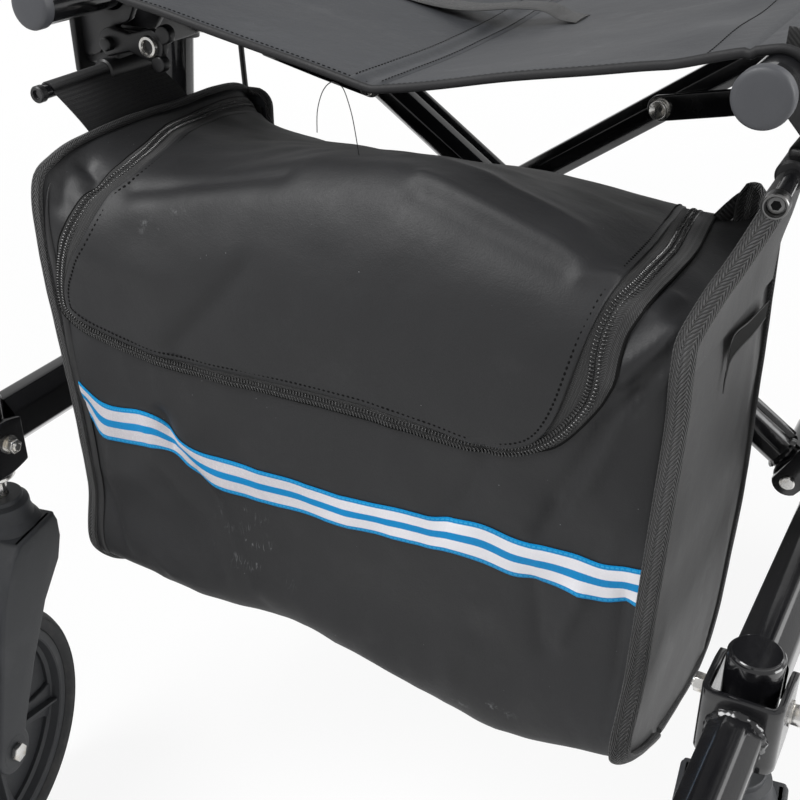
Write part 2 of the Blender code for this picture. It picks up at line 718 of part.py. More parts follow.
def add_handle(side, sign):
    """The sliding handle tube, its grip, the brake lever with its housing, and the height knob."""
    x = sign * LOWER_RAIL_X
    low = at(x, upright_back(HANDLE_TUBE_LOW_Z), HANDLE_TUBE_LOW_Z)
    bend = at(x, upright_back(GRIP_Z), GRIP_Z)
    end = at(x, GRIP_FRONT_Y + GRIP_LENGTH - 0.004, GRIP_Z)
    path = rounded_path([low, bend, end], HANDLE_BEND_R, 5)
    tube = add_tube(f"handle_tube_{side}", path, FRAME_PAINT, HANDLE_TUBE_R, 12, wall=0.0015)
    set_origin(tube, low)
    profile = [
        (HANDLE_TUBE_R + GAP, 0.0),
        (GRIP_R + 0.003, 0.0),
        (GRIP_R + 0.003, 0.004),
        (GRIP_R - 0.002, 0.010),
        (GRIP_R, 0.050),
        (GRIP_R - 0.001, GRIP_LENGTH - 0.008),
        (GRIP_R - 0.005, GRIP_LENGTH),
        (0.0, GRIP_LENGTH),
        (0.0, GRIP_LENGTH - 0.003),
        (HANDLE_TUBE_R + GAP, GRIP_LENGTH - 0.003),
    ]
    centre = at(x, GRIP_FRONT_Y, GRIP_Z)
    turned(f"grip_{side}", profile, centre, (0, 1, 0), GRIP_RUBBER, 16)
    housing = add_box(
        f"brake_housing_{side}",
        at(x - 0.0165, LEVER_PIVOT_Y - 0.0140, LEVER_PIVOT_Z - 0.011),
        at(x + 0.0165, GRIP_FRONT_Y - 0.0006, GRIP_Z + 0.0155),
        PLASTIC,
        0.004,
    )
    start = at(x, LEVER_PIVOT_Y - 0.03, GRIP_Z)
    end = at(x, GRIP_FRONT_Y + 0.01, GRIP_Z)
    bore = add_rod(f"tube_bore_{side}", start, end, HANDLE_TUBE_R + 2 * GAP, PLASTIC, 20)
    combine(housing, bore, "DIFFERENCE")
    slot = add_box(
        f"lever_slot_{side}",
        at(x - LEVER_WIDTH / 2 - 0.0006, LEVER_PIVOT_Y - 0.0075, LEVER_PIVOT_Z - 0.02),
        at(x + LEVER_WIDTH / 2 + 0.0006, GRIP_FRONT_Y + 0.02, LEVER_PIVOT_Z + 0.0095),
        PLASTIC,
    )
    combine(housing, slot, "DIFFERENCE")
    corners = [
        at(x, LEVER_PIVOT_Y, LEVER_PIVOT_Z),
        at(x, LEVER_PIVOT_Y + 0.040, LEVER_PIVOT_Z - 0.026),
        at(x, GRIP_FRONT_Y + GRIP_LENGTH - 0.012, LEVER_PIVOT_Z - 0.034),
    ]
    outline = octagon(LEVER_WIDTH, LEVER_THICKNESS, 0.0025)
    path = rounded_path(corners, 0.040, 4)
    lever = add_tube(f"brake_lever_{side}", path, CAST_BLACK, outline=outline)
    set_origin(lever, corners[0])
    knob_z = UPRIGHT_TOP_Z - 0.025
    start = at(x + sign * (UPRIGHT_R + 0.0008), upright_back(knob_z), knob_z)
    profile = [
        (0.0, 0.024),
        (0.016, 0.024),
        (0.019, 0.020),
        (0.019, 0.010),
        (0.017, 0.006),
        (0.006, 0.006),
        (0.006, 0.0),
        (0.0, 0.0),
    ]
    knob = turned(f"height_knob_{side}", profile, start, (sign, 0, 0), PLASTIC, 16)
    set_origin(knob, start)


def add_arm(side, sign):
    """One strut of the cross brace, named for the seat rail that it carries, with its foot sleeve and link plate."""
    back = ARM_Y[side]
    foot = at(-sign * ARM_FOOT_X, back, ARM_FOOT_Z)
    head = at(sign * SEAT_RAIL_X, back, SEAT_RAIL_Z)
    run = (head - foot).normalized()
    end = head - run * (SEAT_RAIL_R + GAP + 0.0006)
    outline = octagon(ARM_WIDTH, ARM_WIDTH, ARM_WIDTH * 0.29)
    arm = add_tube(f"cross_arm_{side}", [foot, end], FRAME_PAINT, outline=outline)
    middle = (ARM_Y["left"] + ARM_Y["right"]) / 2
    half = FOOT_SLEEVE_LENGTH / 2
    foot_middle = at(-sign * ARM_FOOT_X, middle, ARM_FOOT_Z)
    along = Vector((0, 1, 0))
    sleeve = add_rod(
        f"foot_sleeve_{side}",
        foot_middle - along * half,
        foot_middle + along * half,
        FOOT_SLEEVE_R,
        FRAME_PAINT,
    )
    combine(arm, sleeve, "UNION")
    cut_hole(arm, foot_middle - along * 0.05, foot_middle + along * 0.05, FOOT_PIN_R + GAP, 16)
    share = ARM_FOOT_X / (ARM_FOOT_X + SEAT_RAIL_X)
    cross_z = ARM_FOOT_Z + (SEAT_RAIL_Z - ARM_FOOT_Z) * share
    cross = at(0, back, cross_z)
    cross_tool = add_rod(
        f"cross_bore_{side}", cross - along * 0.02, cross + along * 0.02, CROSS_BOLT_R + GAP, FRAME_PAINT
    )
    combine(arm, cross_tool, "DIFFERENCE")
    rise = (SEAT_RAIL_Z - ARM_FOOT_Z) / (ARM_FOOT_X + SEAT_RAIL_X)
    bolt_z = cross_z + LINK_BOLT_X * rise
    half = LINK_PLATE_WIDTH / 2
    weld_z = SEAT_RAIL_Z - SEAT_RAIL_R - GAP - 0.0004
    outline = arc((LINK_BOLT_X, bolt_z), half, 100, 280, 6)
    outline += [
        (0.186, bolt_z - half + 0.0190),
        (0.199, bolt_z + 0.0270),
        (0.208, 0.5600),
        (0.208, weld_z),
        (0.197, weld_z),
        (0.188, bolt_z + half + 0.0195),
    ]
    front = back - ARM_WIDTH / 2 - LINK_PLATE_THICKNESS - GAP
    place = front_view(front + LINK_PLATE_THICKNESS / 2)
    corners = [(sign * px, z) for px, z in outline]
    plate = add_plate(f"link_plate_{side}", corners, LINK_PLATE_THICKNESS, place, FRAME_PAINT)
    start = at(sign * LINK_BOLT_X, front - 0.01, bolt_z)
    end = at(sign * LINK_BOLT_X, front + 0.015, bolt_z)
    cut_hole(plate, start, end, 0.0033)


def add_cross_bolt_and_pins():
    """The bolt that the two struts turn on, and the pins under the lower rails that their feet turn on."""
    share = ARM_FOOT_X / (ARM_FOOT_X + SEAT_RAIL_X)
    cross_z = ARM_FOOT_Z + (SEAT_RAIL_Z - ARM_FOOT_Z) * share
    front = min(ARM_Y.values()) - ARM_WIDTH / 2
    rear = max(ARM_Y.values()) + ARM_WIDTH / 2
    span = rear - front
    profile = [
        (0.0, -0.006),
        (0.0075, -0.006),
        (0.0075, -GAP),
        (CROSS_BOLT_R, -GAP),
        (CROSS_BOLT_R, span + GAP),
        (0.0075, span + GAP),
        (0.0075, span + 0.007),
        (0.0, span + 0.007),
    ]
    turned("cross_bolt", profile, at(0, front, cross_z), (0, 1, 0), ZINC, 16)
    middle = (ARM_Y["left"] + ARM_Y["right"]) / 2
    along = Vector((0, 1, 0))
    for side, sign in SIDES.items():
        reach = FOOT_SLEEVE_LENGTH / 2 + 0.0105
        centre = at(sign * ARM_FOOT_X, middle, ARM_FOOT_Z)
        pin = add_rod(
            f"foot_pin_{side}", centre - along * reach, centre + along * reach, FOOT_PIN_R, ZINC
        )
        inner_x = LOWER_RAIL_X - LOWER_RAIL_WIDTH / 2 - GAP
        for name, end in (("front", -1), ("rear", 1)):
            near = middle + end * (FOOT_SLEEVE_LENGTH / 2 + 0.001)
            far = middle + end * (FOOT_SLEEVE_LENGTH / 2 + 0.0085)
            low_y, high_y = sorted((near, far))
            low_x, high_x = sorted((sign * (ARM_FOOT_X - 0.010), sign * inner_x))
            lug = add_box(
                f"lug_{name}_{side}",
                at(low_x, low_y, ARM_FOOT_Z - 0.011),
                at(high_x, high_y, LOWER_RAIL_Z + 0.009),
                FRAME_PAINT,
            )
            combine(pin, lug, "UNION")


def add_brace_rod():
    """The thin rod that runs beside the front strut, from its foot sleeve to the right seat rail."""
    run = Vector((-SEAT_RAIL_X - ARM_FOOT_X, 0, SEAT_RAIL_Z - ARM_FOOT_Z)).normalized()
    start = at(ARM_FOOT_X, BRACE_ROD_Y, ARM_FOOT_Z) + run * (FOOT_SLEEVE_R + 2 * GAP)
    end = at(-SEAT_RAIL_X, BRACE_ROD_Y, SEAT_RAIL_Z) - run * (SEAT_RAIL_R + 2 * GAP)
    rod = add_rod("brace_rod", start, end, BRACE_ROD_R, FRAME_PAINT, 12)
    share = ARM_FOOT_X / (ARM_FOOT_X + SEAT_RAIL_X)
    cross_z = ARM_FOOT_Z + (SEAT_RAIL_Z - ARM_FOOT_Z) * share
    centre = at(0, BRACE_ROD_Y, cross_z)
    along = Vector((0, 0.02, 0))
    cut_hole(rod, centre - along, centre + along, CROSS_BOLT_R + GAP)


def add_seat():
    """The fabric seat, wrapped over both rails and sagging to a seam in the middle, with its main folds."""
    inner_r = SEAT_RAIL_R + 0.0006
    slope = math.degrees(math.atan2(SEAT_RAIL_Z + inner_r - SEAT_CENTRE_Z, SEAT_RAIL_X))
    half = arc((SEAT_RAIL_X, SEAT_RAIL_Z), inner_r, -20, 90 + slope * 0.96, 6)
    last_x, last_z = half[-1]
    for step in range(1, 8):
        share = step / 7
        sag = SEAT_CENTRE_Z + (last_z - SEAT_CENTRE_Z) * (1 - share) ** 1.06
        half.append((last_x * (1 - share), sag))
    section = half + [(-x, z) for x, z in reversed(half[:-1])]
    bm = bmesh.new()
    verts = [bm.verts.new(at(x, SEAT_FRONT_Y, z)) for x, z in section]
    edges = [bm.edges.new(pair) for pair in zip(verts, verts[1:])]
    rows = 8
    step = (SEAT_REAR_Y - SEAT_FRONT_Y) / rows
    for _ in range(rows):
        made = bmesh.ops.extrude_edge_only(bm, edges=edges)["geom"]
        verts = [part for part in made if isinstance(part, bmesh.types.BMVert)]
        edges = [part for part in made if isinstance(part, bmesh.types.BMEdge)]
        edges = [edge for edge in edges if all(vert in verts for vert in edge.verts)]
        bmesh.ops.translate(bm, vec=(0, step, 0), verts=verts)
    middle = FRONT_ENDS_Y + (SEAT_FRONT_Y + SEAT_REAR_Y) / 2
    length = SEAT_REAR_Y - SEAT_FRONT_Y
    for vert in bm.verts:
        flat = max(0.0, 1 - abs(vert.co.x) / (SEAT_RAIL_X - 0.006))
        along = (vert.co.y - middle) / (length / 2)
        droop = SEAT_DROOP * flat * (1 - along**2)
        fold = SEAT_FOLD * flat * math.sin(3 * math.pi * along) * (1 - flat)
        vert.co.z -= droop + fold
    bmesh.ops.recalc_face_normals(bm, faces=bm.faces)
    if sum(face.normal.z for face in bm.faces) < 0:
        bmesh.ops.reverse_faces(bm, faces=bm.faces)
    mesh = bpy.data.meshes.new("seat")
    bm.to_mesh(mesh)
    bm.free()
    mesh.shade_smooth()
    seat = link("seat", mesh, SEAT_FABRIC)
    cloth = seat.modifiers.new("thickness", "SOLIDIFY")
    cloth.thickness = SEAT_THICKNESS
    cloth.offset = 1.0
    cloth.use_even_offset = True


def bag_outline(inset):
    """The bag seen from the side, as (distance behind the front ends, height) pairs, drawn in by the inset."""
    front, rear = BAG_FRONT_Y + inset, BAG_REAR_Y - inset
    top, low = BAG_TOP_Z - inset, BAG_LOW_Z + inset
    outline = arc((front + 0.022, top - 0.022), 0.022, 180, 90, 3)
    outline += arc((rear + 0.004, top - 0.034), 0.026, 90, 0, 3)
    outline += [(rear - 0.010, 0.440), (rear - 0.002, 0.330)]
    outline += arc((rear - 0.046, low + 0.050), 0.046, 0, -70, 4)
    outline += [(0.093, low + 0.001), (0.050, low + 0.0105), (0.028, low + 0.0175)]
    outline += [(front + 0.026, low + 0.0245)]
    outline += arc((front + 0.008, low + 0.050), 0.014, 250, 190, 2)
    return outline


def add_bag():
    """The bag, a thin shell with the slanted pocket mouth in its left side."""
    width = 2 * BAG_HALF_WIDTH
    bag = add_plate("storage_bag", bag_outline(0.0), width, side_view(0), BAG_FABRIC)
    width -= 2 * BAG_WALL
    hollow = add_plate("hollow_of_bag", bag_outline(BAG_WALL), width, side_view(0), BAG_FABRIC)
    combine(bag, hollow, "DIFFERENCE")
    mouth = [(0.076, 0.413), (0.077, 0.421), (0.150, 0.440), (0.160, 0.426)]
    pocket = add_plate("pocket_mouth", mouth, 0.02, side_view(BAG_HALF_WIDTH), BAG_FABRIC)
    combine(bag, pocket, "DIFFERENCE")


def add_cable(side, sign):
    """The brake cable, from the lever's housing in a bow to the upright, along it and over the rail to the brake."""
    x = LOWER_RAIL_X
    points = [
        (x, LEVER_PIVOT_Y - 0.0165, LEVER_PIVOT_Z + 0.004),
        (x - 0.004, LEVER_PIVOT_Y - 0.030, LEVER_PIVOT_Z - 0.004),
        (x - 0.016, 0.250, 0.860),
        (x - 0.023, 0.246, 0.800),
        (x - 0.024, 0.238, 0.720),
        (x - 0.023, 0.232, 0.640),
        (x - 0.024, 0.230, 0.560),
        (x - 0.023, 0.235, 0.480),
        (x - 0.020, 0.246, 0.410),
        (x - 0.010, 0.262, 0.370),
        (x + 0.006, 0.281, 0.356),
        (x + 0.0195, 0.297, 0.337),
        (x + 0.0240, 0.310, 0.312),
        (x + 0.0245, 0.3165, 0.292),
        (x + 0.0245, 0.3190, 0.2735),
    ]
    curve = bpy.data.curves.new(f"brake_cable_{side}", "CURVE")
    curve.dimensions = "3D"
    curve.bevel_depth = 0.0022
    curve.bevel_resolution = 1
    curve.use_fill_caps = True
    route = smooth_route([at(px, back, z) for px, back, z in points], 2)
    spline = curve.splines.new("POLY")
    spline.points.add(len(route) - 1)
    for point, place in zip(spline.points, route):
        point.co = (sign * place.x, place.y, place.z, 1.0)
    settle(link(f"brake_cable_{side}", curve, CABLE_SLEEVE))


def smooth_route(points, steps):
    """A smooth curve through the points, read at even shares between them."""
    route = [points[0]]
    for index in range(len(points) - 1):
        p0 = points[max(index - 1, 0)]
        p1, p2 = points[index], points[index + 1]
        p3 = points[min(index + 2, len(points) - 1)]
        for step in range(1, steps + 1):
            t = step / steps
            bend = (2 * p0 - 5 * p1 + 4 * p2 - p3) * t**2
            twist = (3 * p1 - 3 * p2 + p3 - p0) * t**3
            route.append(0.5 * (2 * p1 + (p2 - p0) * t + bend + twist))
    return route


def main():
    for side, sign in SIDES.items():
        add_side_frame(side, sign)
        add_seat_rail(side, sign)
        add_caster_head(side, sign)
        add_caster(side, sign)
        add_rear_wheel(side, sign)
        add_bracket(side, sign)
        add_handle(side, sign)
        add_arm(side, sign)
        add_cable(side, sign)
    add_cross_bolt_and_pins()
    add_brace_rod()
    add_seat()
    add_bag()


main()
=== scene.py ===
"""Looks for a side-folding four-wheel rollator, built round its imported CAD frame."""

import logging
import math
from collections.abc import Callable, Iterable, Sequence
from dataclasses import dataclass, field
from enum import Enum

import bmesh
import bpy
import numpy as np
from mathutils import Matrix, Quaternion, Vector, noise


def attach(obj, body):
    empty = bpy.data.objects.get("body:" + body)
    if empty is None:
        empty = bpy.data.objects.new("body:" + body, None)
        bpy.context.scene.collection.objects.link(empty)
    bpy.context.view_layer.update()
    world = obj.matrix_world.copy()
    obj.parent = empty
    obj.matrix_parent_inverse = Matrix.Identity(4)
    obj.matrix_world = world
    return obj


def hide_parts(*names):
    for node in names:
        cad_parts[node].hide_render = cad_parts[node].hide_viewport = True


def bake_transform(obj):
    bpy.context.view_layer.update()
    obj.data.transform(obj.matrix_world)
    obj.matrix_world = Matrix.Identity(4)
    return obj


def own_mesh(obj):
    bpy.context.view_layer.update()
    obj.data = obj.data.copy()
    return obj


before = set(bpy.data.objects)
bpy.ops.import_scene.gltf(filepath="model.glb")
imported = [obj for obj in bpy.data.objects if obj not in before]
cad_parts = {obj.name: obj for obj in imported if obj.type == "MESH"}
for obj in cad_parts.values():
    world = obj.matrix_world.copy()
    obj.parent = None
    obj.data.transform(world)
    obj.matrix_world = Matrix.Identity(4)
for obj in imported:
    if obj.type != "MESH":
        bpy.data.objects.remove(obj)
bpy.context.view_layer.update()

LOG = logging.getLogger("rollator")
Pair = tuple[float, float]
Triple = tuple[float, float, float]

# Heights are above the floor. A distance back is from the seat rails' front ends, which are at this Y.
FRONT_ENDS_Y = -0.1481

# Where several classes meet: an X on the left side, a distance back, a height, or two of these as a pair.
SIDE_X = 0.257
SEAT_RAIL: Pair = (0.210, 0.590)
FOOT_PIN: Pair = (0.224, 0.291)
FOOT_PIN_BACK = 0.22725
HEAD_BACK = -0.0525
CLEVIS_BOLT_Z = 0.3145
STUB_Z = 0.3115
ROD_Z = 0.5385
AXLE_Z = 0.100
REAR_AXLE_BACK = 0.420
LEVER_PIVOT: Pair = (0.303, 0.902)
BAG_HALF = 0.1955
UPRIGHT_LEAN = 0.14
TO_FRONT: Triple = (0.0, -1.0, 0.0)
TO_REAR: Triple = (0.0, 1.0, 0.0)


class Side(Enum):
    """The user's left or right hand side, with its sign along X."""

    LEFT = 1.0
    RIGHT = -1.0

    @property
    def word(self) -> str:
        """The side's name as the nodes spell it."""
        return self.name.lower()


class Slot(Enum):
    """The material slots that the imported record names."""

    PAINT = "frame_paint"
    CASTING = "cast_black"
    PLASTIC = "moulded_plastic"
    ZINC = "bright_zinc"
    TYRE = "tyre_rubber"
    GRIP = "grip_rubber"
    BAG = "coated_fabric"
    SEAT = "seat_fabric"
    SLEEVE = "cable_sleeve"


def at(x: float, back: float, z: float) -> Vector:
    """A point from its X, its distance behind the seat rails' front ends and its height."""
    return Vector((x, FRONT_ENDS_Y + back, z))


def upright_back(z: float) -> float:
    """How far back the axis of an upright and its handle tube is at a height."""
    return 0.1573 + (z - 0.3405) * UPRIGHT_LEAN


def arc(centre: Pair, radius: float, start: float, end: float, steps: int) -> list[Pair]:
    """Points on a flat arc.

    Args:
        centre: The arc's centre.
        radius: Its radius in metres.
        start: The first angle in degrees.
        end: The last angle in degrees.
        steps: How many spans the arc has.

    Returns:
        The points, one more than the spans.
    """
    turns = np.radians(np.linspace(start, end, steps + 1))
    return [(centre[0] + radius * math.cos(a), centre[1] + radius * math.sin(a)) for a in turns]


def octagon(width: float, height: float, cut: float, round_steps: int = 2) -> list[Pair]:
    """The outline of a flat-sided tube whose corners are cut and eased.

    Args:
        width: The outline's width.
        height: Its height.
        cut: How far each corner is cut.
        round_steps: Spans in each eased corner.

    Returns:
        The closed outline's points, anticlockwise.
    """
    w, h = width / 2, height / 2
    corners = [(w, h - cut), (w - cut, h), (cut - w, h), (-w, h - cut)]
    corners += [(-x, -y) for x, y in corners]
    ease = cut * 0.22
    points: list[Pair] = []
    for index, corner in enumerate(corners):
        here = Vector(corner)
        before = (Vector(corners[index - 1]) - here).normalized() * ease
        after = (Vector(corners[(index + 1) % 8]) - here).normalized() * ease
        for step in range(round_steps + 1):
            t = step / round_steps
            place = here + before * (1 - t) ** 2 + after * t**2
            points.append((place.x, place.y))
    return points


def circle(radius: float, steps: int) -> list[Pair]:
    """The points of a circle about the middle."""
    return arc((0.0, 0.0), radius, 0.0, 360.0 * (steps - 1) / steps, steps - 1)


def oval(wide: float, high: float, steps: int) -> list[Pair]:
    """The points of an oval about the middle, from its two half sizes."""
    return [(x * wide, y * high) for x, y in circle(1.0, steps)]


def both_faces(half: list[Pair]) -> list[Pair]:
    """A profile for spinning and the same profile mirrored to the other face."""
    return half + [(radius, -z) for radius, z in reversed(half)]


def smooth_route(points: Sequence[Sequence[float]], steps: int) -> list[Vector]:
    """A smooth curve through given points.

    Args:
        points: The points that the curve passes.
        steps: How many spans lie between two of them.

    Returns:
        The curve's points.
    """
    route = [Vector(points[0])]
    for index in range(len(points) - 1):
        p0 = Vector(points[max(index - 1, 0)])
        p1, p2 = Vector(points[index]), Vector(points[index + 1])
        p3 = Vector(points[min(index + 2, len(points) - 1)])
        for step in range(1, steps + 1):
            t = step / steps
            bend = (2 * p0 - 5 * p1 + 4 * p2 - p3) * t**2
            twist = (3 * p1 - 3 * p2 + p3 - p0) * t**3
            route.append(0.5 * (2 * p1 + (p2 - p0) * t + bend + twist))
    return route


def even_route(points: Sequence[Vector], pitch: float) -> list[Vector]:
    """The same route with its points a fixed distance apart.

    Args:
        points: The route's points.
        pitch: The distance between two new points.

    Returns:
        The new points, the ends among them.
    """
    spots = np.array([tuple(point) for point in points])
    spans = np.linalg.norm(np.diff(spots, axis=0), axis=1)
    along = np.concatenate([[0.0], np.cumsum(spans)])
    count = max(2, int(round(along[-1] / pitch)) + 1)
    wanted = np.linspace(0.0, along[-1], count)
    return [Vector([float(np.interp(s, along, spots[:, axis])) for axis in range(3)]) for s in wanted]


def bent_route(corners: Sequence[Vector], radius: float, steps: int = 10) -> list[Vector]:
    """The corners joined by straight runs, with an arc at each inner corner.

    Args:
        corners: The route's corners.
        radius: Every bend's radius.
        steps: Spans in each bend.

    Returns:
        The route's points.
    """
    points = [Vector(corners[0])]
    for before, corner, after in zip(corners, corners[1:], corners[2:]):
        into = (Vector(before) - Vector(corner)).normalized()
        out = (Vector(after) - Vector(corner)).normalized()
        half = into.angle(out) / 2
        centre = Vector(corner) + (into + out).normalized() * (radius / math.sin(half))
        reach = radius / math.tan(half)
        start = Vector(corner) + into * reach - centre
        turn = start.rotation_difference(Vector(corner) + out * reach - centre)
        for step in range(steps + 1):
            points.append(centre + Quaternion(turn.axis, turn.angle * step / steps) @ start)
    points.append(Vector(corners[-1]))
    return points


class Signal:
    """A number that varies over a surface, which Python's operators turn into Math nodes."""

    def __init__(self, recipe: "Recipe", socket: bpy.types.NodeSocket) -> None:
        """Keeps the recipe and the socket."""
        self.recipe = recipe
        self.socket = socket

    def math(self, operation: str, *values: "Signal | float") -> "Signal":
        """One Math node on the given values."""
        return self.recipe.node("ShaderNodeMath", {"operation": operation}, dict(enumerate(values)))

    def __add__(self, other: "Signal | float") -> "Signal":
        """The sum."""
        return self.math("ADD", self, other)

    __radd__ = __add__

    def __sub__(self, other: "Signal | float") -> "Signal":
        """The difference."""
        return self.math("SUBTRACT", self, other)

    def __rsub__(self, other: float) -> "Signal":
        """The difference from a plain number."""
        return self.math("SUBTRACT", other, self)

    def __mul__(self, other: "Signal | float") -> "Signal":
        """The product."""
        return self.math("MULTIPLY", self, other)

    __rmul__ = __mul__

    def wave(self) -> "Signal":
        """The sine."""
        return self.math("SINE", self)

    def size(self) -> "Signal":
        """The absolute value."""
        return self.math("ABSOLUTE", self)

    def over(self, low: float, high: float) -> "Signal":
        """A smooth rise from 0 at low to 1 at high, or a fall where low is the larger."""
        settings = {"interpolation_type": "SMOOTHSTEP"}
        return self.recipe.node("ShaderNodeMapRange", settings, {0: self, 1: low, 2: high})

    def repeat(self, period: float) -> "Signal":
        """What is left after whole periods, as a share from 0 to 1."""
        return self.math("FRACT", self * (1.0 / period))


class Recipe:
    """One procedural material with its node tree."""

    def __init__(self, name: str, tree: bpy.types.NodeTree | None = None) -> None:
        """Starts from the plain shader, or from a tree that is there."""
        self.tree = tree
        if tree is None:
            self.material = bpy.data.materials.new(name)
            self.material.use_nodes = True
            self.tree = self.material.node_tree
            self.shader = self.tree.nodes["Principled BSDF"]

    def node(
        self,
        kind: str,
        settings: dict[str, object] | None = None,
        values: dict[int | str, object] | None = None,
        output: int | str = 0,
    ) -> Signal:
        """Adds a node, sets it and then fills its sockets.

        Args:
            kind: The node's type.
            settings: Its own settings.
            values: The value or link of each socket.
            output: The output that is wanted.

        Returns:
            The output as a signal.
        """
        made = self.tree.nodes.new(kind)
        for key, value in (settings or {}).items():
            setattr(made, key, value)
        for key, value in (values or {}).items():
            self.fill(made.inputs[key], value)
        return Signal(self, made.outputs[output])

    def fill(self, socket: bpy.types.NodeSocket, value: object) -> None:
        """Links a signal to a socket or sets its plain value."""
        if isinstance(value, Signal):
            self.tree.links.new(value.socket, socket)
        elif socket.type == "RGBA":
            socket.default_value = (*value, 1.0)
        else:
            socket.default_value = value

    def shade(self, **values: object) -> None:
        """Fills the shader's sockets, each named with underscores for its spaces."""
        for key, value in values.items():
            self.fill(self.shader.inputs[key.replace("_", " ")], value)

    def place(self, scale: Triple = (1.0, 1.0, 1.0), turn: Triple = (0.0, 0.0, 0.0)) -> Signal:
        """Object coordinates, stretched and turned."""
        here = self.node("ShaderNodeTexCoord", output="Object")
        return self.node("ShaderNodeMapping", {}, {"Vector": here, "Scale": scale, "Rotation": turn})

    def flat(self) -> tuple[Signal, Signal]:
        """The piece's own map in metres: along the piece and across it."""
        here = self.node("ShaderNodeUVMap", {"uv_map": "flat"})
        parts = self.node("ShaderNodeSeparateXYZ", {}, {0: here})
        return parts, Signal(self, parts.socket.node.outputs[1])

    def cloud(self, scale: float, detail: float = 2.0, rough: float = 0.5, where: Signal | None = None) -> Signal:
        """Soft noise from 0 to 1."""
        values = {"Vector": where or self.place(), "Scale": scale, "Detail": detail, "Roughness": rough}
        return self.node("ShaderNodeTexNoise", {}, values)

    def cells(self, scale: float, feature: str = "F1", where: Signal | None = None) -> Signal:
        """Distances inside a cell pattern."""
        values = {"Vector": where or self.place(), "Scale": scale}
        return self.node("ShaderNodeTexVoronoi", {"feature": feature}, values)

    def mix(self, share: Signal | float, first: object, second: object) -> Signal:
        """A colour between two others."""
        values = {0: share, 6: first, 7: second}
        return self.node("ShaderNodeMix", {"data_type": "RGBA"}, values, output=2)

    def relief(self, height: Signal, depth: float, strength: float = 1.0) -> None:
        """Bumps the surface by a height from 0 to 1, for a depth in metres."""
        values = {"Strength": strength, "Distance": depth, "Height": height}
        self.shade(Normal=self.node("ShaderNodeBump", {}, values))

    def spot(self, centre: Triple, radius: float, squeeze: Triple = (1.0, 1.0, 1.0)) -> Signal:
        """A soft round mask about a point: 1 in the middle and 0 at the radius."""
        here = self.node("ShaderNodeTexCoord", output="Object")
        away = self.node("ShaderNodeVectorMath", {"operation": "SUBTRACT"}, {0: here, 1: centre})
        wide = self.node("ShaderNodeVectorMath", {"operation": "MULTIPLY"}, {0: away, 1: squeeze})
        reach = self.node("ShaderNodeVectorMath", {"operation": "LENGTH"}, {0: wide}, output="Value")
        return reach.over(radius, 0.0)


@dataclass(frozen=True)
class Finish:
    """What a piece wears: a named procedural material and the numbers that set it."""

    name: str

    def make(self) -> bpy.types.Material:
        """Builds the material."""
        raise NotImplementedError


@dataclass(frozen=True)
class Enamel(Finish):
    """Gloss black enamel on tube, with a little orange peel, smears and dust."""

    name: str = "gloss_enamel"
    colour: Triple = (0.0065, 0.0066, 0.0078)
    dust: Triple = (0.060, 0.058, 0.054)
    rough: float = 0.14

    def make(self) -> bpy.types.Material:
        """Builds the material."""
        recipe = Recipe(self.name)
        smear = recipe.cloud(38.0, 4.0, 0.6, recipe.place((1.0, 0.35, 1.0))).over(0.42, 0.78)
        specks = recipe.cells(420.0).over(0.16, 0.05) * recipe.cloud(60.0).over(0.55, 0.75)
        colour = recipe.mix(specks * 0.55 + smear * 0.05, self.colour, self.dust)
        recipe.shade(Base_Color=colour, Roughness=self.rough + smear * 0.16 + specks * 0.3)
        recipe.shade(Coat_Weight=0.5 + smear * -0.2, Coat_Roughness=0.06)
        peel = recipe.cloud(260.0, 1.0) * 0.75 + recipe.cloud(45.0) * 0.25
        recipe.relief(peel, 0.00035, 0.22)
        return recipe.material


@dataclass(frozen=True)
class Casting(Finish):
    """Satin black on a casting, with its fine sand grain and rubbed edges."""

    name: str = "satin_casting"
    colour: Triple = (0.0085, 0.0085, 0.0095)
    rubbed: Triple = (0.045, 0.045, 0.048)
    rough: float = 0.34

    def make(self) -> bpy.types.Material:
        """Builds the material."""
        recipe = Recipe(self.name)
        grain = recipe.cloud(1500.0, 3.0, 0.65)
        wear = recipe.cloud(85.0, 5.0, 0.7).over(0.58, 0.80)
        recipe.shade(Base_Color=recipe.mix(wear * 0.5, self.colour, self.rubbed))
        recipe.shade(Roughness=self.rough + grain * 0.14 - wear * 0.08, Specular_IOR_Level=0.55)
        recipe.relief(grain * 0.5 + recipe.cloud(300.0) * 0.5, 0.00025, 0.45)
        return recipe.material


@dataclass(frozen=True)
class Moulding(Finish):
    """Dark grey moulded plastic with a spark-eroded grain, a sheen from handling and settled dust."""

    name: str = "moulded_grain"
    colour: Triple = (0.034, 0.036, 0.040)
    pale: Triple = (0.075, 0.077, 0.082)
    rough: float = 0.46
    grain: float = 0.00012

    def make(self) -> bpy.types.Material:
        """Builds the material."""
        recipe = Recipe(self.name)
        pits = recipe.cells(2100.0)
        blotch = recipe.cloud(24.0, 5.0, 0.62).over(0.45, 0.80)
        colour = recipe.mix(blotch * 0.35, self.colour, self.pale)
        recipe.shade(Base_Color=colour, Roughness=self.rough + pits * 0.18 - blotch * 0.08)
        recipe.relief(pits, self.grain, 0.55)
        return recipe.material


